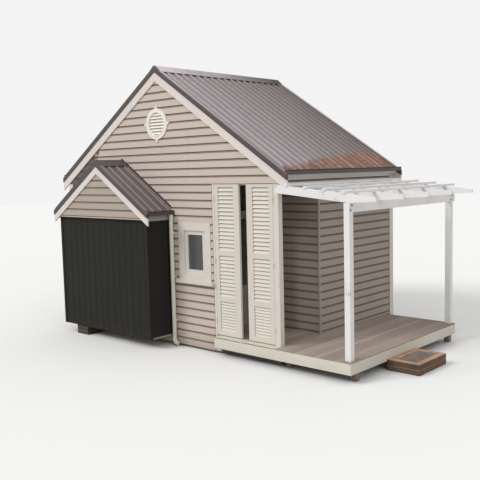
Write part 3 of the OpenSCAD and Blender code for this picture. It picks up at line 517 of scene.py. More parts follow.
def painted_boards(nodes):
    """Greige paint, a little different on each board, with streaks and soil near the ground, darker on the
    pop-out's gable, painted shade under the pergola and behind the pop-out's left slope, and painted light
    above the ledger on the right wall.
    """
    x, y, z = nodes.axes()
    shades = colours()
    tint = nodes.random(nodes.vector((z * 7.0).floor(), (x * 0.24).floor(), (y * 0.24).floor()))
    grain = nodes.noise(26.0, 5.0, (0.12, 0.12, 3.0))
    patch = nodes.noise(1.3, 4.0)
    own = nodes.ramp(tint, 0.0, 1.0) * 0.30
    base = nodes.mix(own, rgba(shades.boards), rgba(shades.boards, 0.90))
    base = nodes.mix(nodes.ramp(patch, 0.42, 0.72) * 0.25, base, rgba(shades.boards, 1.07))
    base = nodes.mix(nodes.ramp(grain, 0.55, 0.75) * 0.22, base, rgba(shades.boards, 0.80))
    streak = nodes.noise(9.0, 3.0, (1.0, 1.0, 0.08))
    base = nodes.over(base, nodes.ramp(streak, 0.58, 0.78) * 0.16, RUN_OFF)
    base = nodes.over(base, grime(nodes, 0.55), SOIL_ON_BOARDS)
    # Painted shade of the pergola, below the ledger on the right wall and in the porch
    base = nodes.over(base, pergola_painted_shade(nodes), PERGOLA_SHADE_TONE, "MULTIPLY")
    base = nodes.over(base, (y < FRONT_Y - 0.1) * 0.8, DULL_TONE, "MULTIPLY")
    # Painted light on the right wall's boards above the ledger
    painted_light_above_ledger = on_right_face(x) * (z > LEDGER_Z + 0.02)
    base = nodes.over(base, painted_light_above_ledger * 0.75, PAINTED_LIGHT_ON_BOARDS)
    # Painted shade behind the pop-out's left slope
    base = nodes.over(base, painted_shade_behind_pop_out(nodes), POP_OUT_CORNER_SHADE)
    rough = 0.52 + grain * 0.18
    return {"Base Color": base, "Roughness": rough, "Normal": nodes.bump(grain, 0.0012, 0.5)}


def wall_lining(nodes):
    """Paint of the walls behind the boards: pale inside the room, greige outside."""
    x, y, _ = nodes.axes()
    shades = colours()
    inside = abs(x - RIDGE_X) < (RIGHT_X - LEFT_X) / 2 - WALL_T + 0.001
    inside = inside * (y > FRONT_Y + WALL_T - 0.001) * (y < REAR_Y - WALL_T + 0.001)
    grain = nodes.noise(18.0, 4.0)
    patch = nodes.noise(1.7, 4.0)
    blotch = nodes.ramp(patch, 0.4, 0.7) * 0.4
    outside = nodes.mix(blotch, rgba(shades.boards, 0.92), rgba(shades.boards, 0.78))
    inner = nodes.mix(blotch, rgba(ROOM_PAINT), rgba(ROOM_PAINT_DULL))
    base = nodes.mix(inside * (1.0 - in_porch(x, y)), outside, inner)
    # Painted shade at the foot of the walls under the deck
    base = nodes.over(base, painted_shade_below_deck(nodes), UNDER_DECK_SHADE)
    return {"Base Color": base, "Roughness": 0.6 + grain * 0.1,
            "Normal": nodes.bump(grain, 0.0006, 0.3)}


def lap_shade(nodes):
    """Painted shadow in the gap under each board, with dust."""
    shades = colours()
    dust = nodes.noise(14.0, 4.0)
    base = nodes.mix(nodes.ramp(dust, 0.35, 0.7), rgba(shades.lap), rgba(shades.lap, 1.5))
    return {"Base Color": base, "Roughness": 0.85}


def board_chamfer(nodes):
    """Paint of the boards' slanting top edges: brown painted shade under the laps, with dust."""
    shades = colours()
    dust = nodes.noise(14.0, 4.0)
    dusty = nodes.ramp(dust, 0.35, 0.7)
    base = nodes.mix(dusty, rgba(shades.boards, 0.56), rgba(shades.boards, 0.40))
    base = nodes.mix(0.35, base, rgba(shades.lap, 1.8))
    # Painted shade of the pergola on the chamfers
    base = nodes.over(base, pergola_painted_shade(nodes), PERGOLA_SHADE_LAP_TONE, "MULTIPLY")
    # Painted shade behind the pop-out's left slope, on the chamfers
    base = nodes.over(base, painted_shade_behind_pop_out(nodes), POP_OUT_CORNER_SHADE_IN_LAPS)
    return {"Base Color": base, "Roughness": 0.8}


def trim_paint(colour_name, chips, wood, tone=(1.0, 1.0, 1.0)):
    """Brushed paint with grain, hairline splits, dirt and chips down to the wood."""
    def paint(nodes):
        colour = [part * share for part, share in zip(getattr(colours(), colour_name), tone)]
        grain = nodes.noise(38.0, 4.0)
        patch = nodes.noise(2.3, 4.0)
        flake = nodes.noise(46.0, 6.0, rough=0.7)
        where = nodes.noise(3.7, 3.0)
        chip = nodes.ramp(flake + where * 0.55, 0.93 - chips, 0.97 - chips)
        base = nodes.mix(nodes.ramp(patch, 0.38, 0.70) * 0.35, rgba(colour), rgba(colour, 0.88))
        base = nodes.mix(nodes.ramp(grain, 0.55, 0.8) * 0.18, base, rgba(colour, 0.74))
        base = nodes.over(base, grime(nodes, 0.32), DUST_ON_TRIM)
        # Painted shade where the trim runs below the deck
        base = nodes.over(base, painted_shade_below_deck(nodes), UNDER_DECK_SHADE)
        base = nodes.mix(chip, base, rgba(wood))
        rough = 0.42 + grain * 0.16 + chip * 0.25
        height = grain * 0.4 - chip * 0.8
        return {"Base Color": base, "Roughness": rough, "Normal": nodes.bump(height, 0.0010, 0.45)}
    return paint


def deck_edge_paint(nodes):
    """Cream paint, brown along the bare front edge of the board before the doors."""
    surface = trim_paint("cream", -0.03, WOOD_OF_DECK_EDGE, (0.97, 0.98, 0.93))(nodes)
    _, y, z = nodes.axes()
    edge = (z > DECK_LOW_Z + 0.001) * (z < DECK_Z - 0.0005)
    edge = edge * (y < low("deck_edge_boards").y + 0.001)
    worn = nodes.ramp(nodes.noise(4.0, 4.0, (1.0, 0.1, 0.1)), 0.30, 0.50)
    bare = edge * (0.55 + worn * 0.35)
    surface["Base Color"] = nodes.mix(bare, surface["Base Color"], rgba(colours().deck, 0.62))
    return surface


def sheet_coating(front_share, rear_share, ribbed=True):
    """Faded coating, chalky and streaked down the slope, with a painted highlight on the ribs and painted
    shade in the pans, darkened towards the rear by painted shade, darker over the pop-out, and with rust
    along the right eave."""
    def paint(nodes):
        x, y, z = nodes.axes()
        shades = colours()
        streak = nodes.noise(5.0, 4.0, (0.25, 2.0, 0.25))
        patch = nodes.noise(1.1, 5.0)
        speck = nodes.noise(60.0, 5.0)
        # Painted shade, growing towards the rear
        shaded = nodes.ramp(y + patch * 0.8 - 0.4, FRONT_Y + 0.1, REAR_Y - 0.2)
        lower = nodes.mix(shaded, rgba(shades.roof, front_share), rgba(shades.roof_rear_painted_shade, rear_share))
        over_pop = rgba([part * 1.10 for part in shades.roof_rear_painted_shade], rear_share ** 0.3)
        before_wall = y < FRONT_Y - 0.0005
        base = nodes.mix(before_wall, lower, over_pop)
        base = nodes.mix(nodes.ramp(streak, 0.38, 0.68) * 0.25, base, rgba(shades.roof_rear_painted_shade, 0.8))
        base = nodes.mix(nodes.ramp(patch, 0.50, 0.80) * 0.20, base, rgba(shades.roof, 1.2))
        base = nodes.over(base, nodes.ramp(speck, 0.62, 0.75) * 0.12, SPECKS_ON_SHEET)
        crest = 0.0
        if ribbed:
            main, pop = crests("roof_right")[0], crests("pop_out_roof")[0]
            turn = (y - (main + before_wall * (pop - main))) / sizes().rib_pitch + 0.5
            crest = nodes.ramp(abs(turn.fraction() - 0.5), 0.20, 0.11)
            # Painted shade in the pans and painted highlight on the crests
            tone = nodes.mix(crest, rgba(PAN_SHADE), rgba(CREST_HIGHLIGHT))
            base = nodes.mix(1.0, base, tone, "MULTIPLY")
        from_drip = RIDGE_X + ROOF_DRIP_X - x
        along = nodes.ramp(y, FRONT_Y - 0.1, FRONT_Y + 2.7)
        ragged = nodes.noise(4.2, 5.0) * 0.26 + nodes.noise(23.0, 4.0) * 0.18 - 0.22
        reach = 0.10 + along * 0.44 + ragged
        low_down = (from_drip > -0.005) * (z < ROOF_RIDGE_Z - 1.0)
        rusted = nodes.ramp(reach - from_drip, -0.03, 0.05) * low_down * (y > FRONT_Y + 0.02)
        mottle = nodes.noise(17.0, 6.0, rough=0.7)
        rust = nodes.add("ShaderNodeValToRGB", {"stops": [
            (0.32, rgba(DEEP_RUST)), (0.44, rgba(shades.rust, 0.75)), (0.56, rgba(shades.rust)),
            (0.68, rgba(DRY_RUST)), (0.82, rgba(RUBBED_RUST))]}, {"Fac": mottle})
        rust = nodes.over(rust, crest * nodes.ramp(streak, 0.40, 0.62) * 0.55, WORN_RUST)
        base = nodes.mix(rusted * nodes.ramp(nodes.noise(11.0, 5.0), 0.26, 0.46), base, rust)
        rough = 0.60 + patch * 0.10 + rusted * 0.22
        height = speck * 0.3 + rusted * mottle
        return {"Base Color": base, "Roughness": rough, "Specular IOR Level": 0.35,
                "Normal": nodes.bump(height, 0.0012, 0.5)}
    return paint


def dark_metal(paler_laps):
    """Dark folded metal, paler on the laps that lie flat to the sky, partly by fading and partly as a
    painted highlight.
    """
    def paint(nodes):
        shades = colours()
        patch = nodes.noise(2.0, 4.0)
        speck = nodes.noise(34.0, 5.0)
        blotch = nodes.ramp(patch, 0.4, 0.7) * 0.4
        base = nodes.mix(blotch, rgba(shades.flashing), rgba(shades.flashing, 1.5))
        if paler_laps:
            # Laps that face up are paler: fading and a painted highlight
            lap = nodes.ramp(nodes.facing()[2], 0.6, 0.8)
            bleached_and_lit = nodes.ramp(nodes.axes()[2], EAVE_Z + 0.2, ROOF_RIDGE_Z - 0.3)
            pale = nodes.mix(bleached_and_lit, rgba(LOW_LAPS), rgba(BLEACHED_AND_LIT_LAPS))
            base = nodes.mix(lap * 0.85, base, pale)
        base = nodes.over(base, nodes.ramp(speck, 0.60, 0.74) * 0.3, SPECKS_ON_METAL)
        return {"Base Color": base, "Roughness": 0.40 + patch * 0.2,
                "Normal": nodes.bump(speck, 0.0006, 0.4)}
    return paint


def charcoal_coating(nodes):
    """Matt dark coating with faint runs and soil near the ground."""
    shades = colours()
    patch = nodes.noise(1.4, 4.0)
    streak = nodes.noise(8.0, 4.0, (1.0, 1.0, 0.07))
    speck = nodes.noise(70.0, 4.0)
    blotch = nodes.ramp(patch, 0.38, 0.7) * 0.6
    base = nodes.mix(blotch, rgba(shades.charcoal), rgba(shades.charcoal, 1.35))
    base = nodes.over(base, nodes.ramp(streak, 0.55, 0.8) * 0.3, CHARCOAL_STREAKS)
    base = nodes.over(base, grime(nodes, 0.30), SOIL_ON_CHARCOAL)
    return {"Base Color": base, "Roughness": 0.74 + patch * 0.12, "Specular IOR Level": 0.22,
            "Normal": nodes.bump(speck, 0.0004, 0.3)}


def deck_timber(nodes):
    """Bare boards, each its own grey-brown, with grain along them and worn dirt, and painted shade
    darkening them towards the rear.
    """
    x, y, _ = nodes.axes()
    shades = colours()
    pitch = sizes().deck_board + sizes().deck_gap
    board = ((x - high("deck_boards").x) / pitch).floor()
    tint = nodes.random(nodes.vector(board, 0.0, 0.0))
    grain = nodes.noise(30.0, 6.0, (1.6, 0.06, 1.0), 0.65)
    fine = nodes.noise(120.0, 4.0, (1.0, 0.08, 1.0))
    patch = nodes.noise(2.1, 5.0)
    base = nodes.mix(tint, rgba(shades.deck, 0.82), rgba(shades.deck, 1.22))
    base = nodes.over(base, nodes.ramp(grain, 0.50, 0.72) * 0.45, DARK_GRAIN)
    base = nodes.over(base, nodes.ramp(fine, 0.52, 0.75) * 0.3, PALE_GRAIN)
    base = nodes.over(base, nodes.ramp(patch, 0.50, 0.74) * 0.35, TANNIN)
    # Painted shade, growing towards the rear of the deck
    rear_painted_shade = nodes.ramp(y + patch * 0.6 - 0.3, (FRONT_Y + REAR_Y) / 2 - 0.4, REAR_Y)
    base = nodes.over(base, rear_painted_shade, DULL_TONE, "MULTIPLY")
    return {"Base Color": base, "Roughness": 0.72 + grain * 0.12,
            "Normal": nodes.bump(grain, 0.0016, 0.6)}


def sawn_timber(nodes):
    """Rough, dusty framing under the floors."""
    grain = nodes.noise(24.0, 6.0, (0.3, 0.3, 1.0), 0.65)
    patch = nodes.noise(1.9, 4.0)
    base = nodes.mix(nodes.ramp(grain, 0.4, 0.7), rgba(SAWN), rgba(SAWN_DARK))
    base = nodes.over(base, nodes.ramp(patch, 0.45, 0.7) * 0.5, SAWN_DUSTY)
    return {"Base Color": base, "Roughness": 0.82, "Normal": nodes.bump(grain, 0.0014, 0.6)}


def fired_brick(top, sides):
    """Clay with its own tone for each brick: paler on top, as painted light with bleaching and sand, and
    darker at the sides, as painted shade with soil.
    """
    def paint(nodes):
        colour = colours().brick
        tint = nodes.add("ShaderNodeAttribute", {"attribute_name": "tint"}, out="Fac")
        sand = nodes.noise(90.0, 5.0, rough=0.7)
        patch = nodes.noise(11.0, 5.0)
        upward = nodes.ramp(nodes.facing()[2], 0.4, 0.8)
        base = nodes.mix(tint, rgba(colour, 0.75), rgba(colour, 1.25))
        # Painted light on the tops and painted shade on the sides
        tone = nodes.mix(upward, rgba((sides, sides, sides)), rgba((top, top, top)))
        base = nodes.mix(1.0, base, tone, "MULTIPLY")
        base = nodes.mix(nodes.ramp(patch, 0.48, 0.72) * 0.5, base, rgba(colour, 0.55 * sides))
        base = nodes.over(base, nodes.ramp(sand, 0.42, 0.62) * upward * 0.65, SAND_ON_BRICK)
        base = nodes.over(base, grime(nodes, 0.30), SOIL_ON_BRICK)
        return {"Base Color": base, "Roughness": 0.88,
                "Normal": nodes.bump(sand + patch, 0.0020, 0.6)}
    return paint


def mortar_mix(nodes):
    """Coarse brown mortar."""
    sand = nodes.noise(110.0, 4.0, rough=0.7)
    base = nodes.mix(nodes.ramp(sand, 0.4, 0.65), rgba(MORTAR), rgba(MORTAR_DARK))
    return {"Base Color": base, "Roughness": 0.95, "Normal": nodes.bump(sand, 0.0015, 0.6)}


def worn_stone(nodes):
    """Trodden stone of the paver."""
    patch = nodes.noise(7.0, 5.0)
    sand = nodes.noise(120.0, 4.0, rough=0.7)
    base = nodes.mix(nodes.ramp(patch, 0.4, 0.7), rgba(STONE), rgba(STONE_DARK))
    base = nodes.over(base, nodes.ramp(sand, 0.55, 0.7) * 0.4, SAND_ON_STONE)
    return {"Base Color": base, "Roughness": 0.85, "Normal": nodes.bump(sand, 0.0012, 0.5)}


def fascia_paint(nodes):
    """White paint under the eaves, along the pop-out green with age and dull with painted shade."""
    y = nodes.axes()[1]
    shades = colours()
    patch = nodes.noise(2.3, 4.0)
    grain = nodes.noise(38.0, 4.0)
    # Green and darker along the pop-out: age and painted shade
    base = nodes.mix(y < FRONT_Y - 0.001, rgba(shades.white), rgba(AGED_GREEN_AND_SHADE))
    base = nodes.over(base, nodes.ramp(patch, 0.38, 0.70) * 0.25, PATCH_TONE, "MULTIPLY")
    base = nodes.over(base, nodes.ramp(grain, 0.55, 0.8) * 0.3, GRAIN_TONE, "MULTIPLY")
    return {"Base Color": base, "Roughness": 0.5 + grain * 0.15,
            "Normal": nodes.bump(grain, 0.0010, 0.45)}


def aged_plastic(nodes):
    """Yellowed plastic of the downpipe."""
    patch = nodes.noise(6.0, 4.0, (1.0, 1.0, 0.3))
    base = nodes.mix(nodes.ramp(patch, 0.4, 0.7) * 0.6, rgba(PIPE), rgba(PIPE_DULL))
    base = nodes.over(base, grime(nodes, 0.5), SOIL_ON_PIPE)
    return {"Base Color": base, "Roughness": 0.38 + patch * 0.15}


def entrance_paint(nodes):
    """Dull brown-grey paint of the entrance door in its dark porch."""
    grain = nodes.noise(30.0, 4.0, (1.0, 1.0, 0.2))
    patch = nodes.noise(2.6, 4.0)
    base = nodes.mix(nodes.ramp(patch, 0.4, 0.7) * 0.5, rgba(ENTRANCE), rgba(ENTRANCE_DULL))
    base = nodes.over(base, nodes.ramp(grain, 0.55, 0.75) * 0.25, ENTRANCE_GRAIN)
    return {"Base Color": base, "Roughness": 0.5 + grain * 0.15,
            "Normal": nodes.bump(grain, 0.0008, 0.4)}


def pane_glass(nodes):
    """Glass over a dim room: nearly see-through, with patches of dust."""
    dust = nodes.noise(4.0, 5.0)
    base = nodes.mix(nodes.ramp(dust, 0.4, 0.75), rgba(GLASS), rgba(DUSTY_GLASS))
    return {"Base Color": base, "Roughness": 0.05, "Alpha": 0.62 + dust * 0.22,
            "Specular IOR Level": 0.7, "Metallic": 0.0}


def zinc(nodes):
    """Galvanised metal with spots of rust."""
    spangle = nodes.noise(80.0, 3.0)
    rusty = nodes.noise(31.0, 5.0, rough=0.7)
    base = nodes.mix(nodes.ramp(spangle, 0.3, 0.7), rgba(ZINC), rgba(ZINC_DULL))
    base = nodes.over(base, nodes.ramp(rusty, 0.50, 0.62) * 0.6, RUST_SPOTS)
    return {"Base Color": base, "Roughness": 0.48, "Metallic": 0.7}


def dark_rubber(nodes):
    """Rubber of the screws' washers and foam of the ridge closures."""
    dust = nodes.noise(20.0, 3.0)
    base = nodes.mix(dust, rgba(RUBBER), rgba(DUSTY_RUBBER))
    return {"Base Color": base, "Roughness": 0.95}


def insect_screen(nodes):
    """Fly mesh with dust on it, seen between the vent's slats, painted pale as light in the shaded gaps.
    """
    dust = nodes.noise(20.0, 3.0)
    base = nodes.mix(dust, rgba(FLY_MESH_PAINTED_LIGHT), rgba(DUSTY_MESH_PAINTED_LIGHT))
    return {"Base Color": base, "Roughness": 0.95}


def floor_paper(nodes):
    """Pale to the camera, and a little darker where it lights the object from below."""
    base = nodes.mix(nodes.looked_at(), rgba(FLOOR_AS_LIGHT), rgba(FLOOR_AS_SEEN))
    return {"Base Color": base, "Roughness": 0.9, "Specular IOR Level": 0.2}


FINISHES = {
    "weatherboard_paint": painted_boards,
    "wall_lining_paint": wall_lining,
    "board_rebate": lap_shade,
    "board_chamfer": board_chamfer,
    "cream_paint": trim_paint("cream", -0.04, WOOD_UNDER_CREAM, (0.97, 0.96, 0.95)),
    "deck_edge_paint": deck_edge_paint,
    "barge_paint": trim_paint("cream", -0.04, WOOD_UNDER_CREAM, (1.04, 1.02, 1.04)),
    "vent_paint": trim_paint("cream", -0.08, WOOD_UNDER_CREAM, (1.18, 1.20, 1.20)),
    "white_paint": trim_paint("white", -0.012, WOOD_UNDER_WHITE),
    # Painted shade towards the rear of the sheeting
    "roof_coating": sheet_coating(1.07, 0.96),
    "flashing_metal": dark_metal(True),
    "gutter_metal": dark_metal(False),
    # Painted light and shade on the ridge capping: far paler at the front, dark at the rear
    "ridge_coating": sheet_coating(2.2, 0.18, False),
    "fascia_paint": fascia_paint,
    "shutter_paint": trim_paint("cream", -0.07, WOOD_UNDER_CREAM, (0.94, 0.93, 0.90)),
    "charcoal_coating": charcoal_coating,
    "deck_timber": deck_timber,
    "sawn_timber": sawn_timber,
    # Painted light on the step's brick tops, painted shade on their sides
    "step_brick": fired_brick(1.20, 0.30),
    # Painted shade: the pier's bricks far darker all over
    "pier_brick": fired_brick(0.16, 0.10),
    "mortar": mortar_mix,
    "paver": worn_stone,
    "pipe_plastic": aged_plastic,
    "entrance_paint": entrance_paint,
    "pane_glass": pane_glass,
    "zinc": zinc,
    "dark_rubber": dark_rubber,
    "insect_screen": insect_screen,
    "floor_paper": floor_paper,
}


def finish(name):
    """The material of that name, made when it is first wanted."""
    if name not in bpy.data.materials:
        new_material(name, FINISHES[name])
    return bpy.data.materials[name]


def new_shape_tree(name, inputs):
    """A Geometry Nodes tree with a geometry in and out and the named inputs."""
    tree = bpy.data.node_groups.new(name, "GeometryNodeTree")
    for label, kind in [("Geometry", "NodeSocketGeometry"), *inputs]:
        tree.interface.new_socket(name=label, in_out="INPUT", socket_type=kind)
    tree.interface.new_socket(name="Geometry", in_out="OUTPUT", socket_type="NodeSocketGeometry")
    nodes = Nodes(tree)
    source = nodes.add("NodeGroupInput").socket.node
    return tree, nodes, {socket.name: Wire(tree, socket) for socket in source.outputs if socket.name}


def close_tree(nodes, geometry, material):
    """Ends a tree with plain geometry that has its material."""
    realized = nodes.add("GeometryNodeRealizeInstances", {}, {"Geometry": geometry})
    painted = nodes.add("GeometryNodeSetMaterial", {}, {"Geometry": realized, "Material": material})
    nodes.add("NodeGroupOutput", {}, (painted,))


CORNERS = ("Corner 1", "Corner 2", "Corner 3", "Corner 4")


def strip_tree():
    """A bar with a four-cornered section along every edge of the mesh that comes in."""
    name = "strip along edges"
    if name in bpy.data.node_groups:
        return bpy.data.node_groups[name]
    inputs = [(label, "NodeSocketVector") for label in CORNERS] + [("Material", "NodeSocketMaterial")]
    tree, nodes, wires = new_shape_tree(name, inputs)
    curve = nodes.add("GeometryNodeMeshToCurve", {}, {"Mesh": wires["Geometry"]})
    upright = nodes.add("GeometryNodeSetCurveNormal", {"mode": "Z_UP"}, {"Curve": curve})
    section = nodes.add("GeometryNodeCurvePrimitiveQuadrilateral", {"mode": "POINTS"}, {
        "Point 1": wires[CORNERS[0]], "Point 2": wires[CORNERS[1]],
        "Point 3": wires[CORNERS[2]], "Point 4": wires[CORNERS[3]]})
    swept = nodes.add("GeometryNodeCurveToMesh", {}, {
        "Curve": upright, "Profile Curve": section, "Fill Caps": True})
    close_tree(nodes, swept, wires["Material"])
    return tree


def copies_tree():
    """A shape at every point, turned and scaled by the point's own values, with its own tint."""
    name = "shape at points"
    if name in bpy.data.node_groups:
        return bpy.data.node_groups[name]
    inputs = [("Shape", "NodeSocketObject"), ("Seed", "NodeSocketInt"), ("Material", "NodeSocketMaterial")]
    tree, nodes, wires = new_shape_tree(name, inputs)
    tint = nodes.add("FunctionNodeRandomValue", {"data_type": "FLOAT"}, {"Seed": wires["Seed"]}, out=1)
    per_point = {"data_type": "FLOAT", "domain": "POINT"}
    tinted = nodes.add("GeometryNodeStoreNamedAttribute", per_point, {
        "Geometry": wires["Geometry"], "Name": "tint", "Value": tint})
    points = nodes.add("GeometryNodeMeshToPoints", {}, {"Mesh": tinted})
    shape = nodes.add("GeometryNodeObjectInfo", {}, {"Object": wires["Shape"]}, out="Geometry")
    vectors = {"data_type": "FLOAT_VECTOR"}
    named = [nodes.add("GeometryNodeInputNamedAttribute", vectors, {"Name": label})
             for label in ("turn", "size")]
    placed = nodes.add("GeometryNodeInstanceOnPoints", {}, {
        "Points": points, "Instance": shape, "Rotation": named[0], "Scale": named[1]})
    close_tree(nodes, placed, wires["Material"])
    return tree


def apply_tree(piece, tree, values):
    """Adds the tree to the piece, with its inputs set by their identifiers."""
    modifier = piece.modifiers.new(tree.name, "NODES")
    modifier.node_group = tree
    for item in tree.interface.items_tree:
        if item.name in values:
            modifier[item.identifier] = values[item.name]


def new_object(name, mesh):
    piece = bpy.data.objects.new(name, mesh)
    bpy.context.scene.collection.objects.link(piece)
    return piece


def delete(piece):
    mesh = piece.data
    bpy.data.objects.remove(piece)
    bpy.data.meshes.remove(mesh)


def bake(piece):
    """Makes what the piece's modifiers give its own plain mesh."""
    bpy.context.view_layer.update()
    graph = bpy.context.evaluated_depsgraph_get()
    mesh = bpy.data.meshes.new_from_object(piece.evaluated_get(graph), depsgraph=graph)
    old = piece.data
    piece.modifiers.clear()
    piece.data = mesh
    bpy.data.meshes.remove(old)
    return piece


def mesh_of(name, shape):
    """The mesh of a shape in the making, which is then freed."""
    mesh = bpy.data.meshes.new(name)
    shape.to_mesh(mesh)
    shape.free()
    return mesh


def joined(name, pieces, material):
    """One piece of several, with outward faces and one material."""
    shape = bmesh.new()
    for piece in pieces:
        shape.from_mesh(piece.data)
    bmesh.ops.recalc_face_normals(shape, faces=shape.faces)
    for face in shape.faces:
        face.material_index = 0
        face.smooth = False
    mesh = mesh_of(name, shape)
    for piece in pieces:
        delete(piece)
    mesh.materials.clear()
    mesh.materials.append(finish(material))
    return new_object(name, mesh)


def strips(name, bars, material):
    """One piece of bars: each is a list of lines and the four corners of their section."""
    made = []
    for lines, corners in bars:
        mesh = bpy.data.meshes.new(name)
        ends = [Vector(end) for line in lines for end in line]
        mesh.from_pydata(ends, [(2 * i, 2 * i + 1) for i in range(len(lines))], [])
        piece = new_object(name + "_lines", mesh)
        values = {label: (corner[0], corner[1], 0.0) for label, corner in zip(CORNERS, corners)}
        values["Material"] = finish(material)
        apply_tree(piece, strip_tree(), values)
        made.append(bake(piece))
    return joined(name, made, material)


def copies(name, shape, places, material, seed=1):
    """The shape at every place, which is a point, a turn and a size; the shape is then deleted."""
    mesh = bpy.data.meshes.new(name)
    mesh.from_pydata([place[0] for place in places], [], [])
    for index, label in ((1, "turn"), (2, "size")):
        layer = mesh.attributes.new(label, "FLOAT_VECTOR", "POINT")
        layer.data.foreach_set("vector", [part for place in places for part in place[index]])
    piece = new_object(name + "_points", mesh)
    apply_tree(piece, copies_tree(), {"Shape": shape, "Seed": seed, "Material": finish(material)})
    made = joined(name, [bake(piece)], material)
    delete(shape)
    return made


def rectangle(a0, b0, a1, b1):
    """Four corners, from one of them to the one across."""
    return [(a0, b0), (a1, b0), (a1, b1), (a0, b1)]


def circle(radius, sides, middle=(0.0, 0.0)):
    """Points evenly round a middle, in a plane."""
    a, b = middle
    turns = [2 * math.pi * i / sides for i in range(sides)]
    return [(a + radius * math.cos(turn), b + radius * math.sin(turn)) for turn in turns]


def solid(name, outline, start, end):
    """A prism: an outline of (x, z), from start to end along y."""
    shape = bmesh.new()
    rings = [[shape.verts.new((x, y, z)) for x, z in outline] for y in (start, end)]
    shape.faces.new(rings[0])
    shape.faces.new(rings[1][::-1])
    for i in range(len(outline)):
        j = (i + 1) % len(outline)
        shape.faces.new((rings[0][i], rings[1][i], rings[1][j], rings[0][j]))
    bmesh.ops.recalc_face_normals(shape, faces=shape.faces)
    return new_object(name, mesh_of(name, shape))


def block(name, corner, opposite):
    """A box between two opposite corners."""
    (x0, y0, z0), (x1, y1, z1) = corner, opposite
    return solid(name, rectangle(x0, z0, x1, z1), y0, y1)


def disc(name, radius, thickness, sides, dome=0.0):
    """A round plate at the origin that stands on the plane z = 0, its rim lowered by the dome."""
    shape = bmesh.new()
    levels = [(radius, 0.0), (radius, thickness - dome), (radius * 0.8, thickness)]
    rings = [[shape.verts.new((x, y, z)) for x, y in circle(r, sides)] for r, z in levels]
    shape.faces.new(rings[0][::-1])
    shape.faces.new(rings[-1])
    for lower, upper in zip(rings, rings[1:]):
        for i in range(sides):
            j = (i + 1) % sides
            shape.faces.new((lower[i], lower[j], upper[j], upper[i]))
    bmesh.ops.recalc_face_normals(shape, faces=shape.faces)
    return new_object(name, mesh_of(name, shape))


def round_edges(piece, width):
    """Takes the sharpness off the piece's edges."""
    modifier = piece.modifiers.new("rounded edges", "BEVEL")
    modifier.width = width
    modifier.segments = 1
    modifier.limit_method = "ANGLE"
    return bake(piece)


def cut(piece, cutters):
    """Takes the cutters' room out of the piece."""
    for cutter in cutters:
        modifier = piece.modifiers.new("cut", "BOOLEAN")
        modifier.object = cutter
        modifier.solver = "EXACT"
    return bake(piece)


def fit(piece, slot, *nodes):
    """The piece rides on the house, and may stand for CAD nodes, which are hidden. The slot is not used.
    """
    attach(piece, HOUSE)
    if nodes:
        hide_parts(*nodes)
    return piece


def facing_y(y):
    """Places a course on a wall that lies along x: from a distance along it and a height."""
    return lambda along, z: (along, y, z)


def facing_x(x):
    """Places a course on a wall that lies along y."""
    return lambda along, z: (x, along, z)


def courses(first, cover, low_z, high_z):
    """Lower and upper edges of the courses between two heights, with the end ones cut."""
    least = 0.015
    row = math.floor((low_z - first) / cover + 1e-6)
    edges = []
    while first + row * cover < high_z - least:
        edges.append((max(first + row * cover, low_z), min(first + (row + 1) * cover, high_z)))
        row += 1
    return edges


def clad(name, place, spans, cutters=()):
    """Weatherboards and the shaded rebates over them. A span is a low and a high edge, and a start
    and an end in the direction that turns the section's face outwards."""
    size = sizes()
    least_chamfered, feather, rebate_out, tuck = 0.05, 0.002, 0.003, 0.003
    by_height = {}
    for low_z, high_z, start, end in spans:
        line = (place(start, low_z), place(end, low_z))
        by_height.setdefault(round(high_z - low_z, 4), []).append(line)
    boards, chamfers = [], []
    for height, lines in by_height.items():
        top = -(height - size.board_gap)
        edge = top + size.board_chamfer if height > least_chamfered else top
        shoulder = (size.board_high, edge)
        boards.append((lines, [(-BED, 0.0), (size.board_low, 0.0), shoulder, (-BED, edge)]))
        if edge > top:
            chamfers.append((lines, [(-BED, edge), shoulder, (feather, top), (-BED, top)]))
    lines = [(place(start, high_z), place(end, high_z)) for low_z, high_z, start, end in spans]
    rebates = [(lines, rectangle(-BED, -tuck, rebate_out, size.board_gap + tuck))]
    for piece in (strips(name + "_boards", boards, "weatherboard_paint"),
                  strips(name + "_chamfers", chamfers, "board_chamfer"),
                  strips(name + "_rebates", rebates, "board_rebate")):
        if cutters:
            cut(piece, cutters)
        fit(piece, "painted_boards")


def barge_line(points):
    """Half-width, apex height and end height of a barge board's upper edge."""
    half = max(abs(co.x - mid) for co, mid in points)
    apex = max(co.z for co, mid in points)
    return half, apex, apex - half * SLOPE


def gable_spans(first, cover, low_z, mid_x, wall_half, points):
    """Courses of a gable, whose ends hide behind the barge boards."""
    under_cap, behind_barge, least_reach = 0.010, 0.030, 0.03
    half, apex_z, end_z = barge_line(points)
    spans = []
    for low_edge, high_edge in courses(first, cover, low_z, apex_z - under_cap):
        reach = min(wall_half, half - (high_edge - behind_barge - end_z) / SLOPE)
        if reach > least_reach:
            spans.append((low_edge, high_edge, mid_x - reach, mid_x + reach))
    return spans


def main_barge():
    """Points of the main gable's barge boards, with the middle of that gable."""
    before = FRONT_Y - 0.1
    return [(co, RIDGE_X) for co in corners_of("barge_boards") if co.y > before]


def pop_barge():
    """Points of the pop-out's barge boards, with the middle of its gable."""
    behind = POP_GABLE_Y + 0.05
    return [(co, POP_X) for co in corners_of("barge_boards") if co.y < behind]


def front_cutter(name, outline):
    """Takes an outline out of the boards on the front wall."""
    before, behind = 0.1, 0.05
    return solid(name, outline, FRONT_Y - before, FRONT_Y + behind)


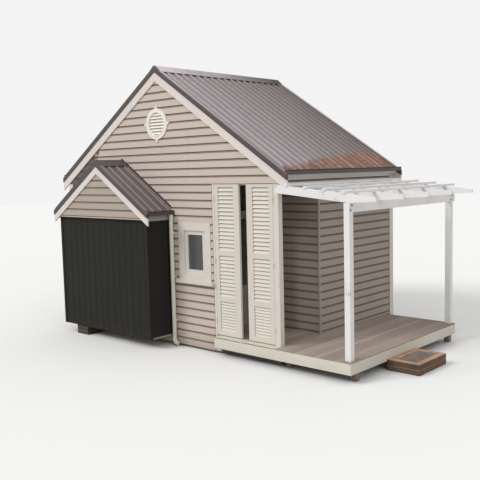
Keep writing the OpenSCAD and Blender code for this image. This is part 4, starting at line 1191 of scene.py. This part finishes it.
def pop_out_cutter():
    """The room that the pop-out and its wall flashing take on the front wall."""
    flashing, overhang = 0.060, 0.038
    half, fascia_half = (POP_RIGHT_X - POP_LEFT_X) / 2, POP_DRIP_X - overhang
    fascia_z, drip_z = low("fascias").z, low("pop_out_roof").z

    def top(x):
        return POP_RIDGE_Z - abs(x) * SLOPE + flashing
    side = [(half, low("pop_out_walls").z), (half, fascia_z), (fascia_half, fascia_z),
            (fascia_half, drip_z), (POP_DRIP_X, drip_z), (POP_DRIP_X, top(POP_DRIP_X))]
    outline = side + [(0.0, top(0.0))] + [(-x, z) for x, z in reversed(side)]
    return front_cutter("pop_out_room", [(POP_X + x, z) for x, z in outline])


# Middle of the gable vent on the wall, and the number of sides of its round pieces
VENT_MIDDLE = tuple((low("gable_vent") + high("gable_vent")) / 2)[::2]
VENT_SIDES = 48


def vent_cutter():
    """The room that the gable vent takes on the front wall."""
    radius = 0.25
    return front_cutter("vent_room", circle(radius, VENT_SIDES, VENT_MIDDLE))


class STUDIO_OT_paint_solids(bpy.types.Operator):
    """Gives every solid of the part its finish"""
    bl_idname = "studio.paint_solids"
    bl_label = "Paint the solids"

    FINISH_OF = {
        "wall_lining_paint": (
            "front_wall_left", "front_wall_over_alcove", "front_wall_middle", "front_base_walls",
            "front_gable", "right_wall", "right_wall_over_porch", "left_wall", "rear_wall",
            "porch_back_wall", "porch_ceiling", "pop_out_gable"),
        "cream_paint": (
            "front_corner_post", "corner_boards", "window_frame", "door_frame"),
        "deck_edge_paint": ("deck_edge_boards",),
        "barge_paint": ("barge_boards",),
        "vent_paint": ("gable_vent",),
        "shutter_paint": ("left_door", "right_door"),
        "white_paint": ("pergola_posts", "pergola_beams", "pergola_rafters", "pergola_battens"),
        "fascia_paint": ("fascias",),
        "entrance_paint": ("entrance_frame", "entrance_door"),
        "pane_glass": ("glass_panes", "entrance_glass"),
        "sawn_timber": ("floors", "stumps", "deck_frame"),
        "roof_coating": ("roof_right", "roof_left", "pop_out_roof"),
        "ridge_coating": ("ridge_caps",),
        "flashing_metal": ("roof_flashings",),
        "gutter_metal": ("gutters",),
        "charcoal_coating": ("pop_out_walls",),
        "pipe_plastic": ("downpipe",),
        "paver": ("step_paver",),
    }

    def execute(self, context):
        for name, nodes in self.FINISH_OF.items():
            for node in nodes:
                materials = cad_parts[node].data.materials
                materials.clear()
                materials.append(finish(name))
        return {"FINISHED"}


class STUDIO_OT_clad_walls(bpy.types.Operator):
    """Lays weatherboards on the four walls, the gables and the porch"""
    bl_idname = "studio.clad_walls"
    bl_label = "Clad the walls"

    # Distance that the boards' ends stand in from a wall's corner, under the corner boards
    END_GAP = 0.005

    def execute(self, context):
        size = sizes()
        reach = (RIGHT_X - LEFT_X) / 2 - self.END_GAP
        base_rows = courses(HEAD_Z, size.course, WALL_LOW_Z, HEAD_Z)
        gable = gable_spans(HEAD_Z, size.course, HEAD_Z, RIDGE_X, reach, main_barge())
        cutters = [pop_out_cutter(), vent_cutter()]
        clad("front_wall", facing_y(FRONT_Y), self.front_spans(base_rows, reach) + gable, cutters)
        for cutter in cutters:
            delete(cutter)
        rear = [(a, b, RIDGE_X + reach, RIDGE_X - reach) for a, b in base_rows]
        rear += [(a, b, end, start) for a, b, start, end in gable]
        clad("rear_wall", facing_y(REAR_Y), rear)
        self.side_walls()
        return {"FINISHED"}

    def front_spans(self, rows, reach):
        """Rows that end at the door frame, and stop behind the window's trim."""
        horn, sill, head, tuck, door_gap = 0.060, 0.130, 0.100, 0.010, 0.003
        left_end, door_x = RIDGE_X - reach, low("door_frame").x - door_gap
        window_x = (low("window_frame").x + horn, high("window_frame").x - horn)
        window_z = (low("window_frame").z + sill, high("window_frame").z - head)
        spans = []
        for low_z, high_z in rows:
            if high_z > window_z[0] and low_z < window_z[1]:
                spans.append((low_z, high_z, left_end, window_x[0] + tuck))
                spans.append((low_z, high_z, window_x[1] - tuck, door_x))
            else:
                spans.append((low_z, high_z, left_end, door_x))
        return spans

    def side_walls(self):
        """Rows of the right wall, below and over its deck and porch, of the left wall and the porch."""
        size = sizes()
        clear, behind_post, tuck, past_corner = 0.006, WALL_T * 0.9, 0.002, 0.001

        def rows(low_z, high_z):
            return courses(size.side_line_z, size.side_course, low_z, high_z)
        front_y, rear_y = FRONT_Y + behind_post, REAR_Y - self.END_GAP
        header_z = low("right_wall_over_porch").z
        behind_deck = high("deck_boards").y + clear
        right = [(a, b, PORCH_Y, rear_y) for a, b in rows(DECK_Z, EAVE_Z)]
        right += [(a, b, behind_deck, rear_y) for a, b in rows(WALL_LOW_Z, DECK_Z)]
        right += [(a, b, front_y, PORCH_Y) for a, b in rows(header_z, EAVE_Z)]
        clad("right_wall", facing_x(RIGHT_X), right)
        left = [(a, b, rear_y, FRONT_Y + self.END_GAP) for a, b in rows(WALL_LOW_Z, EAVE_Z)]
        clad("left_wall", facing_x(LEFT_X), left)
        porch = [(a, b, PORCH_X - tuck, RIGHT_X + past_corner)
                 for a, b in rows(DECK_Z, low("porch_ceiling").z)]
        clad("porch", facing_y(PORCH_Y), porch)
        self.corner_bead(DECK_Z, header_z)

    def corner_bead(self, low_z, high_z):
        """A square bead over the boards' ends where the right wall turns into the porch."""
        width, depth, inset, back = 0.024, 0.016, 0.006, 0.004
        line = [(RIGHT_X - inset, PORCH_Y + back, z) for z in (low_z, high_z)]
        bead = [([line], rectangle(0.0, -width, width, depth))]
        fit(strips("porch_corner_bead", bead, "weatherboard_paint"), "painted_boards")


class STUDIO_OT_clad_pop_out(bpy.types.Operator):
    """Lays boards on the pop-out's gable, and ribs and folded trims on its walls"""
    bl_idname = "studio.clad_pop_out"
    bl_label = "Clad the pop-out"

    def execute(self, context):
        size, end_gap = sizes(), 0.002
        half = (POP_RIGHT_X - POP_LEFT_X) / 2 - end_gap
        spans = gable_spans(size.pop_line_z, size.pop_course, POP_GABLE_Z, POP_X, half, pop_barge())
        clad("pop_out_gable", facing_y(POP_GABLE_Y), spans)
        self.ribs()
        self.folds()
        self.base_trim()
        return {"FINISHED"}

    @staticmethod
    def upright(x, y, high_z):
        """A line up the pop-out's wall, from its foot."""
        return ((x, y, low("pop_out_walls").z), (x, y, high_z))

    def ribs(self):
        """Ribs of the sheeting on the front and on both sides."""
        size = sizes()
        margin, under_eave, each_side = 0.1, 0.12, 3
        side_z = high("pop_out_walls").z - under_eave
        out, base, top = size.wall_rib, size.wall_rib_base, size.wall_rib_top
        count = int((POP_RIGHT_X - POP_LEFT_X - margin) / size.rib_pitch) + 1
        start = POP_X - (count - 1) * size.rib_pitch / 2
        xs = [start + i * size.rib_pitch for i in range(count)]
        front = [self.upright(x, POP_FRONT_Y, POP_GABLE_Z) for x in xs]
        depth = FRONT_Y - POP_FRONT_Y
        ys = [POP_FRONT_Y + depth * (i + 0.5) / each_side for i in range(each_side)]
        right = [self.upright(POP_RIGHT_X, y, side_z) for y in ys]
        left = [self.upright(POP_LEFT_X, y, side_z) for y in ys]
        fit(strips("pop_out_ribs", [
            (front, [(-base, BED), (-top, -out), (top, -out), (base, BED)]),
            (right, [(-BED, -base), (out, -top), (out, top), (-BED, base)]),
            (left, [(BED, -base), (-out, -top), (-out, top), (BED, base)]),
        ], "charcoal_coating"), "charcoal_sheeting")

    def folds(self):
        """Folded trims round the two front corners, each of a front and a side lap."""
        fold, skin = 0.050, 0.012
        bars = []
        for x, front_lap, side_lap in ((POP_RIGHT_X, (-fold, skin), (-BED, skin)),
                                       (POP_LEFT_X, (-skin, fold), (-skin, BED))):
            line = [self.upright(x, POP_FRONT_Y, POP_GABLE_Z)]
            bars.append((line, rectangle(front_lap[0], -skin, front_lap[1], BED)))
            bars.append((line, rectangle(side_lap[0], -BED, side_lap[1], fold)))
        fit(strips("pop_out_corner_folds", bars, "charcoal_coating"), "charcoal_sheeting")

    def base_trim(self):
        """Painted strips along the feet of the sides."""
        height, thick, short = 0.020, 0.012, 0.014
        z = low("pop_out_walls").z
        rear_y = FRONT_Y - short
        lines = [((POP_RIGHT_X, POP_FRONT_Y, z), (POP_RIGHT_X, rear_y, z)),
                 ((POP_LEFT_X, rear_y, z), (POP_LEFT_X, POP_FRONT_Y, z))]
        trim = [(lines, rectangle(-BED, 0.0, thick, -height))]
        fit(strips("pop_out_base_trim", trim, "fascia_paint"), "white_timber")


def crests(node):
    """Middle lines of the ribs along a roof's lower edge, read from its mesh."""
    points = corners_of(node)
    drip_x = max(co.x for co in points)
    edge = [co for co in points if abs(co.x - drip_x) < NEAR]
    top_z = max(co.z for co in edge)
    top_thick = 0.002
    ys = sorted({round(co.y, 4) for co in edge if co.z > top_z - top_thick})
    return [(a + b) / 2 for a, b in zip(ys[::2], ys[1::2])]


def pan_drop():
    """Height from a rib's top down to its pan, measured upright."""
    return sizes().rib_height / math.cos(PITCH)


def pan_lines(ridge, drip, side, ys):
    """Lines down a slope's pans, at the given distances along its ridge."""
    ridge_x, ridge_z = ridge
    from_ridge, from_drip = 0.004, 0.003
    ends = (from_ridge, drip - from_drip)
    return [[(ridge_x + side * x, y, ridge_z - pan_drop() - x * SLOPE) for x in ends] for y in ys]


class STUDIO_OT_lay_roofs(bpy.types.Operator):
    """Rolls flutes into the sheeting, and adds screws, ridge closures and the left slope's apron"""
    bl_idname = "studio.lay_roofs"
    bl_label = "Finish the roofs"

    def execute(self, context):
        ribs, pop_ribs = crests("roof_right"), crests("pop_out_roof")
        ridge, pop_ridge = (RIDGE_X, ROOF_RIDGE_Z), (POP_X, POP_RIDGE_Z)
        self.flutes(((ridge, ROOF_DRIP_X, ribs, FRONT_Y, REAR_Y),
                     (pop_ridge, POP_DRIP_X, pop_ribs, POP_GABLE_Y, FRONT_Y)))
        self.closures(ridge, pop_ridge)
        self.screws(ridge, ribs, pop_ridge, pop_ribs)
        self.apron()
        return {"FINISHED"}

    def flutes(self, roofs):
        """Two shallow ribs in each pan."""
        pitch, height = sizes().rib_pitch, sizes().flute_height
        foot, top, clear, shares = 0.006, 0.0025, 0.012, (0.39, 0.61)
        section = [(-foot, BED), (-top, -height), (top, -height), (foot, BED)]
        bars = []
        for ridge, drip, ribs, front_y, rear_y in roofs:
            ys = [y + pitch * share for y in [ribs[0] - pitch] + ribs for share in shares]
            ys = [y for y in ys if front_y + clear < y < rear_y - clear]
            bars += [(pan_lines(ridge, drip, side, ys), section) for side in (1, -1)]
        fit(strips("roof_flutes", bars, "roof_coating"), "roof_sheeting")

    def closures(self, ridge, pop_ridge):
        """Dark fillers between the pans and the ridge cappings, a little in from their edges."""
        inset, w, up, from_wall = 0.045, 0.010, 0.002, 0.01
        half = (high("ridge_caps").x - RIDGE_X) - inset
        drop = pan_drop()
        bars = []
        for (x, z), y0, y1 in ((ridge, FRONT_Y, REAR_Y), (pop_ridge, POP_GABLE_Y, FRONT_Y - from_wall)):
            for side in (1, -1):
                x1, z1 = x + side * half, z - drop - half * SLOPE
                lean = w * SLOPE * side
                bars.append(([((x1, y0, z1), (x1, y1, z1))], [
                    (-w, up - lean), (w, up + lean), (w, -drop + lean), (-w, -drop - lean)]))
        fit(strips("ridge_closures", bars, "dark_rubber"), "dark_flashing")

    def screws(self, ridge, ribs, pop_ridge, pop_ribs):
        """Hexagonal screws with washers on the crests."""
        rows = sizes().screw_rows
        first, reach, pop_shares = 0.12, 0.86, (0.22, 0.90)
        shares = [first + reach * i / (rows - 1) for i in range(rows)]
        places = []
        for (mid_x, top_z), drip, ys, down in ((ridge, ROOF_DRIP_X, ribs, shares),
                                               (pop_ridge, POP_DRIP_X, pop_ribs, pop_shares)):
            for along in [drip * share for share in down]:
                z = top_z - along * SLOPE
                for side in (1, -1):
                    x, turn = mid_x + side * along, (0.0, side * PITCH, 0.0)
                    places += [((x, y, z), turn, FULL_SIZE) for y in ys]
        washer, head = disc("washer", 0.011, 0.002, 12), disc("hexagon", 0.0065, 0.0065, 6, 0.001)
        fit(copies("roof_screw_washers", washer, places, "dark_rubber"), "dark_flashing")
        fit(copies("roof_screws", head, places, "zinc"), "dark_flashing")

    def apron(self):
        """Flat apron along the pop-out's left slope, half on the sheeting and half in the wall."""
        width, thick, before, over, from_drip = 0.085, 0.0025, 0.008, 0.0008, 0.004
        ends = (high("ridge_caps").x - RIDGE_X, POP_DRIP_X - from_drip)
        line = [(POP_X - x, FRONT_Y - before, POP_RIDGE_Z + over - x * SLOPE) for x in ends]
        bars = [([line], rectangle(0.0, 0.0, reach, -thick)) for reach in (width, -width)]
        fit(strips("pop_out_apron", bars, "flashing_metal"), "dark_flashing")


class STUDIO_OT_trim_gutters(bpy.types.Operator):
    """Adds rolled beads and straps to the gutters"""
    bl_idname = "studio.trim_gutters"
    bl_label = "Trim the gutters"

    def execute(self, context):
        bead, width, bead_down, strap_down = 0.006, 0.112, 0.003, 0.002
        strap_half, strap_up, strap_under = 0.0125, 0.001, 0.0015
        pop = [co for co in corners_of("gutters") if co.y < FRONT_Y - 0.1]
        beads, straps = [], []
        outer, top = high("gutters").x, high("gutters").z
        pop_outer, pop_top = max(co.x for co in pop), max(co.z for co in pop)
        runs = ((RIDGE_X, outer - RIDGE_X, top, FRONT_Y, REAR_Y, 5),
                (POP_X, pop_outer - POP_X, pop_top, POP_GABLE_Y, FRONT_Y, 2))
        for mid_x, half, z, y0, y1, count in runs:
            for side in (1, -1):
                outer_x, inner_x = mid_x + side * (half - bead), mid_x + side * (half - width)
                beads.append([(outer_x, y, z - bead_down) for y in (y0, y1)])
                for i in range(count):
                    y = y0 + (y1 - y0) * (i + 0.5) / count
                    straps.append([(x, y, z - strap_down) for x in sorted((inner_x, outer_x))])
        bead_bars = [(beads, rectangle(-bead, -0.005, bead, bead))]
        strap_bars = [(straps, rectangle(-strap_half, -strap_up, strap_half, strap_under))]
        fit(strips("gutter_beads", bead_bars, "gutter_metal"), "dark_flashing")
        fit(strips("gutter_straps", strap_bars, "zinc"), "dark_flashing")
        return {"FINISHED"}


class STUDIO_OT_screen_vent(bpy.types.Operator):
    """Puts a dusty insect screen, painted pale as light in the shaded gaps, behind the vent's slats, and a
    bead inside its ring
    """
    bl_idname = "studio.screen_vent"
    bl_label = "Screen the vent"

    # Radius, and distance in front of the wall, of the bead's corners
    BEAD = ((0.232, 0.004), (0.232, 0.0325), (0.222, 0.036),
            (0.212, 0.034), (0.204, 0.026), (0.204, 0.004))

    def execute(self, context):
        radius, front, back = 0.240, 0.004, 0.001
        outline = circle(radius, VENT_SIDES, VENT_MIDDLE)
        piece = solid("vent_screen_disc", outline, FRONT_Y - front, FRONT_Y - back)
        fit(joined("vent_screen", [piece], "insect_screen"), "cream_trim")
        self.bead()
        return {"FINISHED"}

    def bead(self):
        """A rounded moulding along the inner edge of the vent's ring."""
        shape = bmesh.new()
        hoops = []
        for radius, out in self.BEAD:
            outline = circle(radius, VENT_SIDES, VENT_MIDDLE)
            hoops.append([shape.verts.new((x, FRONT_Y - out, z)) for x, z in outline])
        for hoop, following in zip(hoops, hoops[1:] + hoops[:1]):
            for i in range(VENT_SIDES):
                j = (i + 1) % VENT_SIDES
                shape.faces.new((hoop[i], following[i], following[j], hoop[j]))
        piece = new_object("vent_bead_part", mesh_of("vent_bead", shape))
        fit(joined("vent_bead", [piece], "vent_paint"), "cream_trim")


class STUDIO_OT_lay_deck(bpy.types.Operator):
    """Lays separate boards with screws on the deck and the porch"""
    bl_idname = "studio.lay_deck"
    bl_label = "Lay the deck"

    def execute(self, context):
        """Boards from the outer edge inwards, shorter in the porch and behind its post."""
        half, pitch = sizes().deck_board / 2, sizes().deck_board + sizes().deck_gap
        clear, behind_post, off_wall, rounded = 0.001, 0.101, 0.010, 0.002
        boards = []
        x = high("deck_boards").x - half
        while x - half > low("deck_boards").x - clear:
            if x - half > RIGHT_X + off_wall:
                start, end = low("deck_boards").y, high("deck_boards").y
            else:
                by_post = x + half > low("front_corner_post").x + 0.01
                start, end = FRONT_Y + (behind_post if by_post else clear), PORCH_Y - clear
            boards.append((x, start, end))
            x -= pitch
        lines = [((x, start, DECK_Z), (x, end, DECK_Z)) for x, start, end in boards]
        bars = [(lines, rectangle(-half, 0.0, half, DECK_Z - DECK_LOW_Z))]
        strip = strips("deck_board_strips", bars, "deck_timber")
        fit(round_edges(strip, rounded), "weathered_deck", "deck_boards")
        self.screws(boards)
        return {"FINISHED"}

    def screws(self, boards):
        """Two screws where each board crosses a joist."""
        joist, joists, apart, from_end, sunk = 0.045, 8, 0.028, 0.01, 0.0005
        frame_low, frame_high = low("deck_frame").y, high("deck_frame").y
        first, reach = frame_low + joist / 2, frame_high - frame_low - joist
        rows = [first + reach * i / (joists - 1) for i in range(joists)]
        places = [((x + side, y, DECK_Z - sunk), UNTURNED, FULL_SIZE)
                  for x, start, end in boards for y in rows if start + from_end < y < end - from_end
                  for side in (-apart, apart)]
        head = disc("screw", 0.0042, 0.0012, 8, 0.0004)
        fit(copies("deck_screws", head, places, "zinc"), "weathered_deck")


class STUDIO_OT_lay_bricks(bpy.types.Operator):
    """Builds the step and the pier of bricks in mortar"""
    bl_idname = "studio.lay_bricks"
    bl_label = "Lay the bricks"

    WIDTH = 0.108
    ROUNDED = 0.004

    def execute(self, context):
        self.lay("step", "brick_step", "step_brick", levels=2, seed=3, tray=True)
        self.lay("pier", "pop_out_pier", "pier_brick", levels=3, seed=4, tray=False)
        return {"FINISHED"}

    def lay(self, name, node, clay, levels, seed, tray):
        """Courses of bricks round a mortar core, with a tray in its top for the paver if wanted."""
        corner, opposite = low(node), high(node)
        unit = block("brick", (-0.5, -0.5, -0.5), (0.5, 0.5, 0.5))
        bricks = copies(name + "_bricks", unit, self.places(corner, opposite, levels), clay, seed)
        fit(round_edges(bricks, self.ROUNDED), "brickwork", node)
        core = self.core(corner, opposite, tray)
        fit(joined(name + "_mortar", core, "mortar"), "brickwork")

    def places(self, corner, opposite, levels):
        """Place and size of every brick. The sides that run through to the corners take turns."""
        joint, recess = sizes().mortar, 0.002
        rise = (opposite.z - corner.z) / levels
        places = []
        for level in range(levels):
            z = corner.z + rise * (level + 0.5) + joint / 4
            for axis in (0, 1):
                through = axis == level % 2
                inset = 0.0 if through else self.WIDTH
                start, end = corner[axis] + inset, opposite[axis] - inset
                count = max(1, round((end - start) / (sizes().brick_length + joint)))
                step = (end - start) / count
                other, middle = 1 - axis, self.WIDTH / 2
                for across in (corner[other] + middle, opposite[other] - middle):
                    for i in range(count):
                        along, length = start + step * (i + 0.5), step - joint
                        if through and count == 1:
                            length = step
                        elif through and i in (0, count - 1):
                            length = step - joint * 0.5
                            along += joint * 0.25 * (-1 if i == 0 else 1)
                        point, size = (along, across), (length, self.WIDTH - recess)
                        if axis == 1:
                            point, size = point[::-1], size[::-1]
                        places.append(((*point, z), UNTURNED, (*size, rise - joint)))
        return places

    def core(self, corner, opposite, tray):
        """Mortar between the bricks, a little in from their faces."""
        inset, foot, under_paver, under_top, rim_under = 0.005, 0.002, 0.046, 0.004, 0.006
        x0, y0, x1, y1 = corner.x + inset, corner.y + inset, opposite.x - inset, opposite.y - inset
        top = opposite.z - (under_paver if tray else under_top)
        core = [block("core", (x0, y0, corner.z + foot), (x1, y1, top))]
        if tray:
            rim = self.WIDTH - 0.001
            rx0, ry0, rx1, ry1 = corner.x + rim, corner.y + rim, opposite.x - rim, opposite.y - rim
            sides = ((x0, rx0, y0, y1), (rx1, x1, y0, y1), (rx0, rx1, y0, ry0), (rx0, rx1, ry1, y1))
            for a0, a1, b0, b1 in sides:
                core.append(block("core", (a0, b0, top - 0.01), (a1, b1, opposite.z - rim_under)))
        return core


class STUDIO_OT_bolt_pergola(bpy.types.Operator):
    """Bolts the pergola's beam to its posts and its ledger to the wall"""
    bl_idname = "studio.bolt_pergola"
    bl_label = "Bolt the pergola"

    # Places of the beam's bolts: share of the post's width, and height over the beam's lower edge
    BEAM_BOLTS = ((0.30, 0.035), (0.70, 0.105))
    # Number, first place and spacing of the ledger's bolts
    LEDGER_BOLTS = (5, 0.12, 0.77)

    def execute(self, context):
        beams_low, beams_high = low("pergola_beams"), high("pergola_beams")
        posts_low, posts_high = low("pergola_posts"), high("pergola_posts")
        wide = posts_high.x - posts_low.x
        ledger = [co for co in corners_of("pergola_beams") if co.x < RIGHT_X + 0.2]
        ledger_x = max(co.x for co in ledger)
        ledger_z = (min(co.z for co in ledger) + max(co.z for co in ledger)) / 2
        points = [(beams_high.x, y + wide * share, beams_low.z + up)
                  for y in (posts_low.y, posts_high.y - wide) for share, up in self.BEAM_BOLTS]
        count, first, spacing = self.LEDGER_BOLTS
        points += [(ledger_x, beams_low.y + first + i * spacing, ledger_z) for i in range(count)]
        to_right = (0.0, math.pi / 2, 0.0)
        places = [(point, to_right, FULL_SIZE) for point in points]
        washer, head = disc("washer", 0.021, 0.003, 20), disc("bolt", 0.012, 0.011, 6, 0.002)
        fit(copies("pergola_washers", washer, places, "zinc"), "white_timber")
        fit(copies("pergola_bolts", head, places, "zinc"), "white_timber")
        return {"FINISHED"}


class STUDIO_OT_set_stage(bpy.types.Operator):
    """Sets the floor, the soft light and the camera"""
    bl_idname = "studio.set_stage"
    bl_label = "Set the stage"

    FLOOR_REACH = 60
    FLOOR_THICK = 0.05
    SKY, BACKDROP = 0.50, 0.9
    # Name, strength, spread in degrees, and direction that each lamp shines from
    LAMPS = (("front light", 1.75, 22, (-0.36, -0.70, 0.62)),
             ("high light", 0.8, 110, (0.0, 0.0, 1.0)),
             ("side light", 0.55, 50, (0.80, -0.40, 0.44)))
    # The camera's place, its lens in millimetres, and its turn, tilt and roll in degrees
    EYE = (9.198, -10.301, 3.252)
    LENS, SENSOR = 53.447, 36
    TURN, TILT, ROLL = 42.432, 5.692, 1.437

    def execute(self, context):
        reach = self.FLOOR_REACH
        floor = block("floor", (-reach, -reach, -self.FLOOR_THICK), (reach, reach, 0.0))
        floor.data.materials.append(finish("floor_paper"))
        self.light(context.scene)
        self.camera(context.scene)
        context.scene.view_settings.view_transform = "Standard"
        return {"FINISHED"}

    def light(self, scene):
        """A white sky, its backdrop, and three broad lamps."""
        world = bpy.data.worlds.new("soft sky")
        scene.world = world
        world.use_nodes = True
        world.node_tree.nodes.clear()
        nodes = Nodes(world.node_tree)
        white = rgba((1.0, 1.0, 1.0))
        sky, backdrop = [
            nodes.add("ShaderNodeBackground", {}, {"Color": white, "Strength": strength})
            for strength in (self.SKY, self.BACKDROP)]
        mixed = nodes.add("ShaderNodeMixShader", {}, {0: nodes.looked_at(), 1: sky, 2: backdrop})
        nodes.add("ShaderNodeOutputWorld", {}, {"Surface": mixed})
        for name, energy, angle, towards in self.LAMPS:
            sun = bpy.data.lights.new(name, "SUN")
            sun.energy = energy
            sun.angle = math.radians(angle)
            lamp = bpy.data.objects.new(name, sun)
            scene.collection.objects.link(lamp)
            lamp.rotation_euler = Vector(towards).to_track_quat("Z", "Y").to_euler()

    def camera(self, scene):
        """The view of the front and the right side."""
        data = bpy.data.cameras.new("view")
        data.sensor_width = self.SENSOR
        data.sensor_fit = "HORIZONTAL"
        data.lens = self.LENS
        data.clip_end = 200
        camera = bpy.data.objects.new("view", data)
        scene.collection.objects.link(camera)
        turns = ((self.TURN, "Z"), (90 - self.TILT, "X"), (-self.ROLL, "Z"))
        turn, tilt, roll = [Matrix.Rotation(math.radians(angle), 4, axis) for angle, axis in turns]
        camera.matrix_world = Matrix.Translation(self.EYE) @ (turn @ tilt @ roll)
        scene.camera = camera


STEPS = (
    STUDIO_OT_paint_solids, STUDIO_OT_clad_walls, STUDIO_OT_clad_pop_out, STUDIO_OT_lay_roofs,
    STUDIO_OT_trim_gutters, STUDIO_OT_screen_vent, STUDIO_OT_lay_deck, STUDIO_OT_lay_bricks,
    STUDIO_OT_bolt_pergola, STUDIO_OT_set_stage,
)


class STUDIO_PT_finishes(bpy.types.Panel):
    """Lists the sizes, the colours and the steps"""
    bl_label = "Studio finishes"
    bl_space_type = "VIEW_3D"
    bl_region_type = "UI"
    bl_category = "Studio"

    def draw(self, context):
        for group in (context.scene.studio_sizes, context.scene.studio_colours):
            box = self.layout.box()
            for name in group.__annotations__:
                box.prop(group, name)
        for step in STEPS:
            self.layout.operator(step.bl_idname)


CLASSES = (StudioSizes, StudioColours, *STEPS, STUDIO_PT_finishes)


def register():
    for item in CLASSES:
        bpy.utils.register_class(item)
    bpy.types.Scene.studio_sizes = PointerProperty(type=StudioSizes)
    bpy.types.Scene.studio_colours = PointerProperty(type=StudioColours)


def unregister():
    del bpy.types.Scene.studio_sizes
    del bpy.types.Scene.studio_colours
    for item in reversed(CLASSES):
        bpy.utils.unregister_class(item)


def main():
    register()
    for step in STEPS:
        group, name = step.bl_idname.split(".")
        getattr(getattr(bpy.ops, group), name)()
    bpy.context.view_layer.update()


if __name__ == "__main__":
    main()
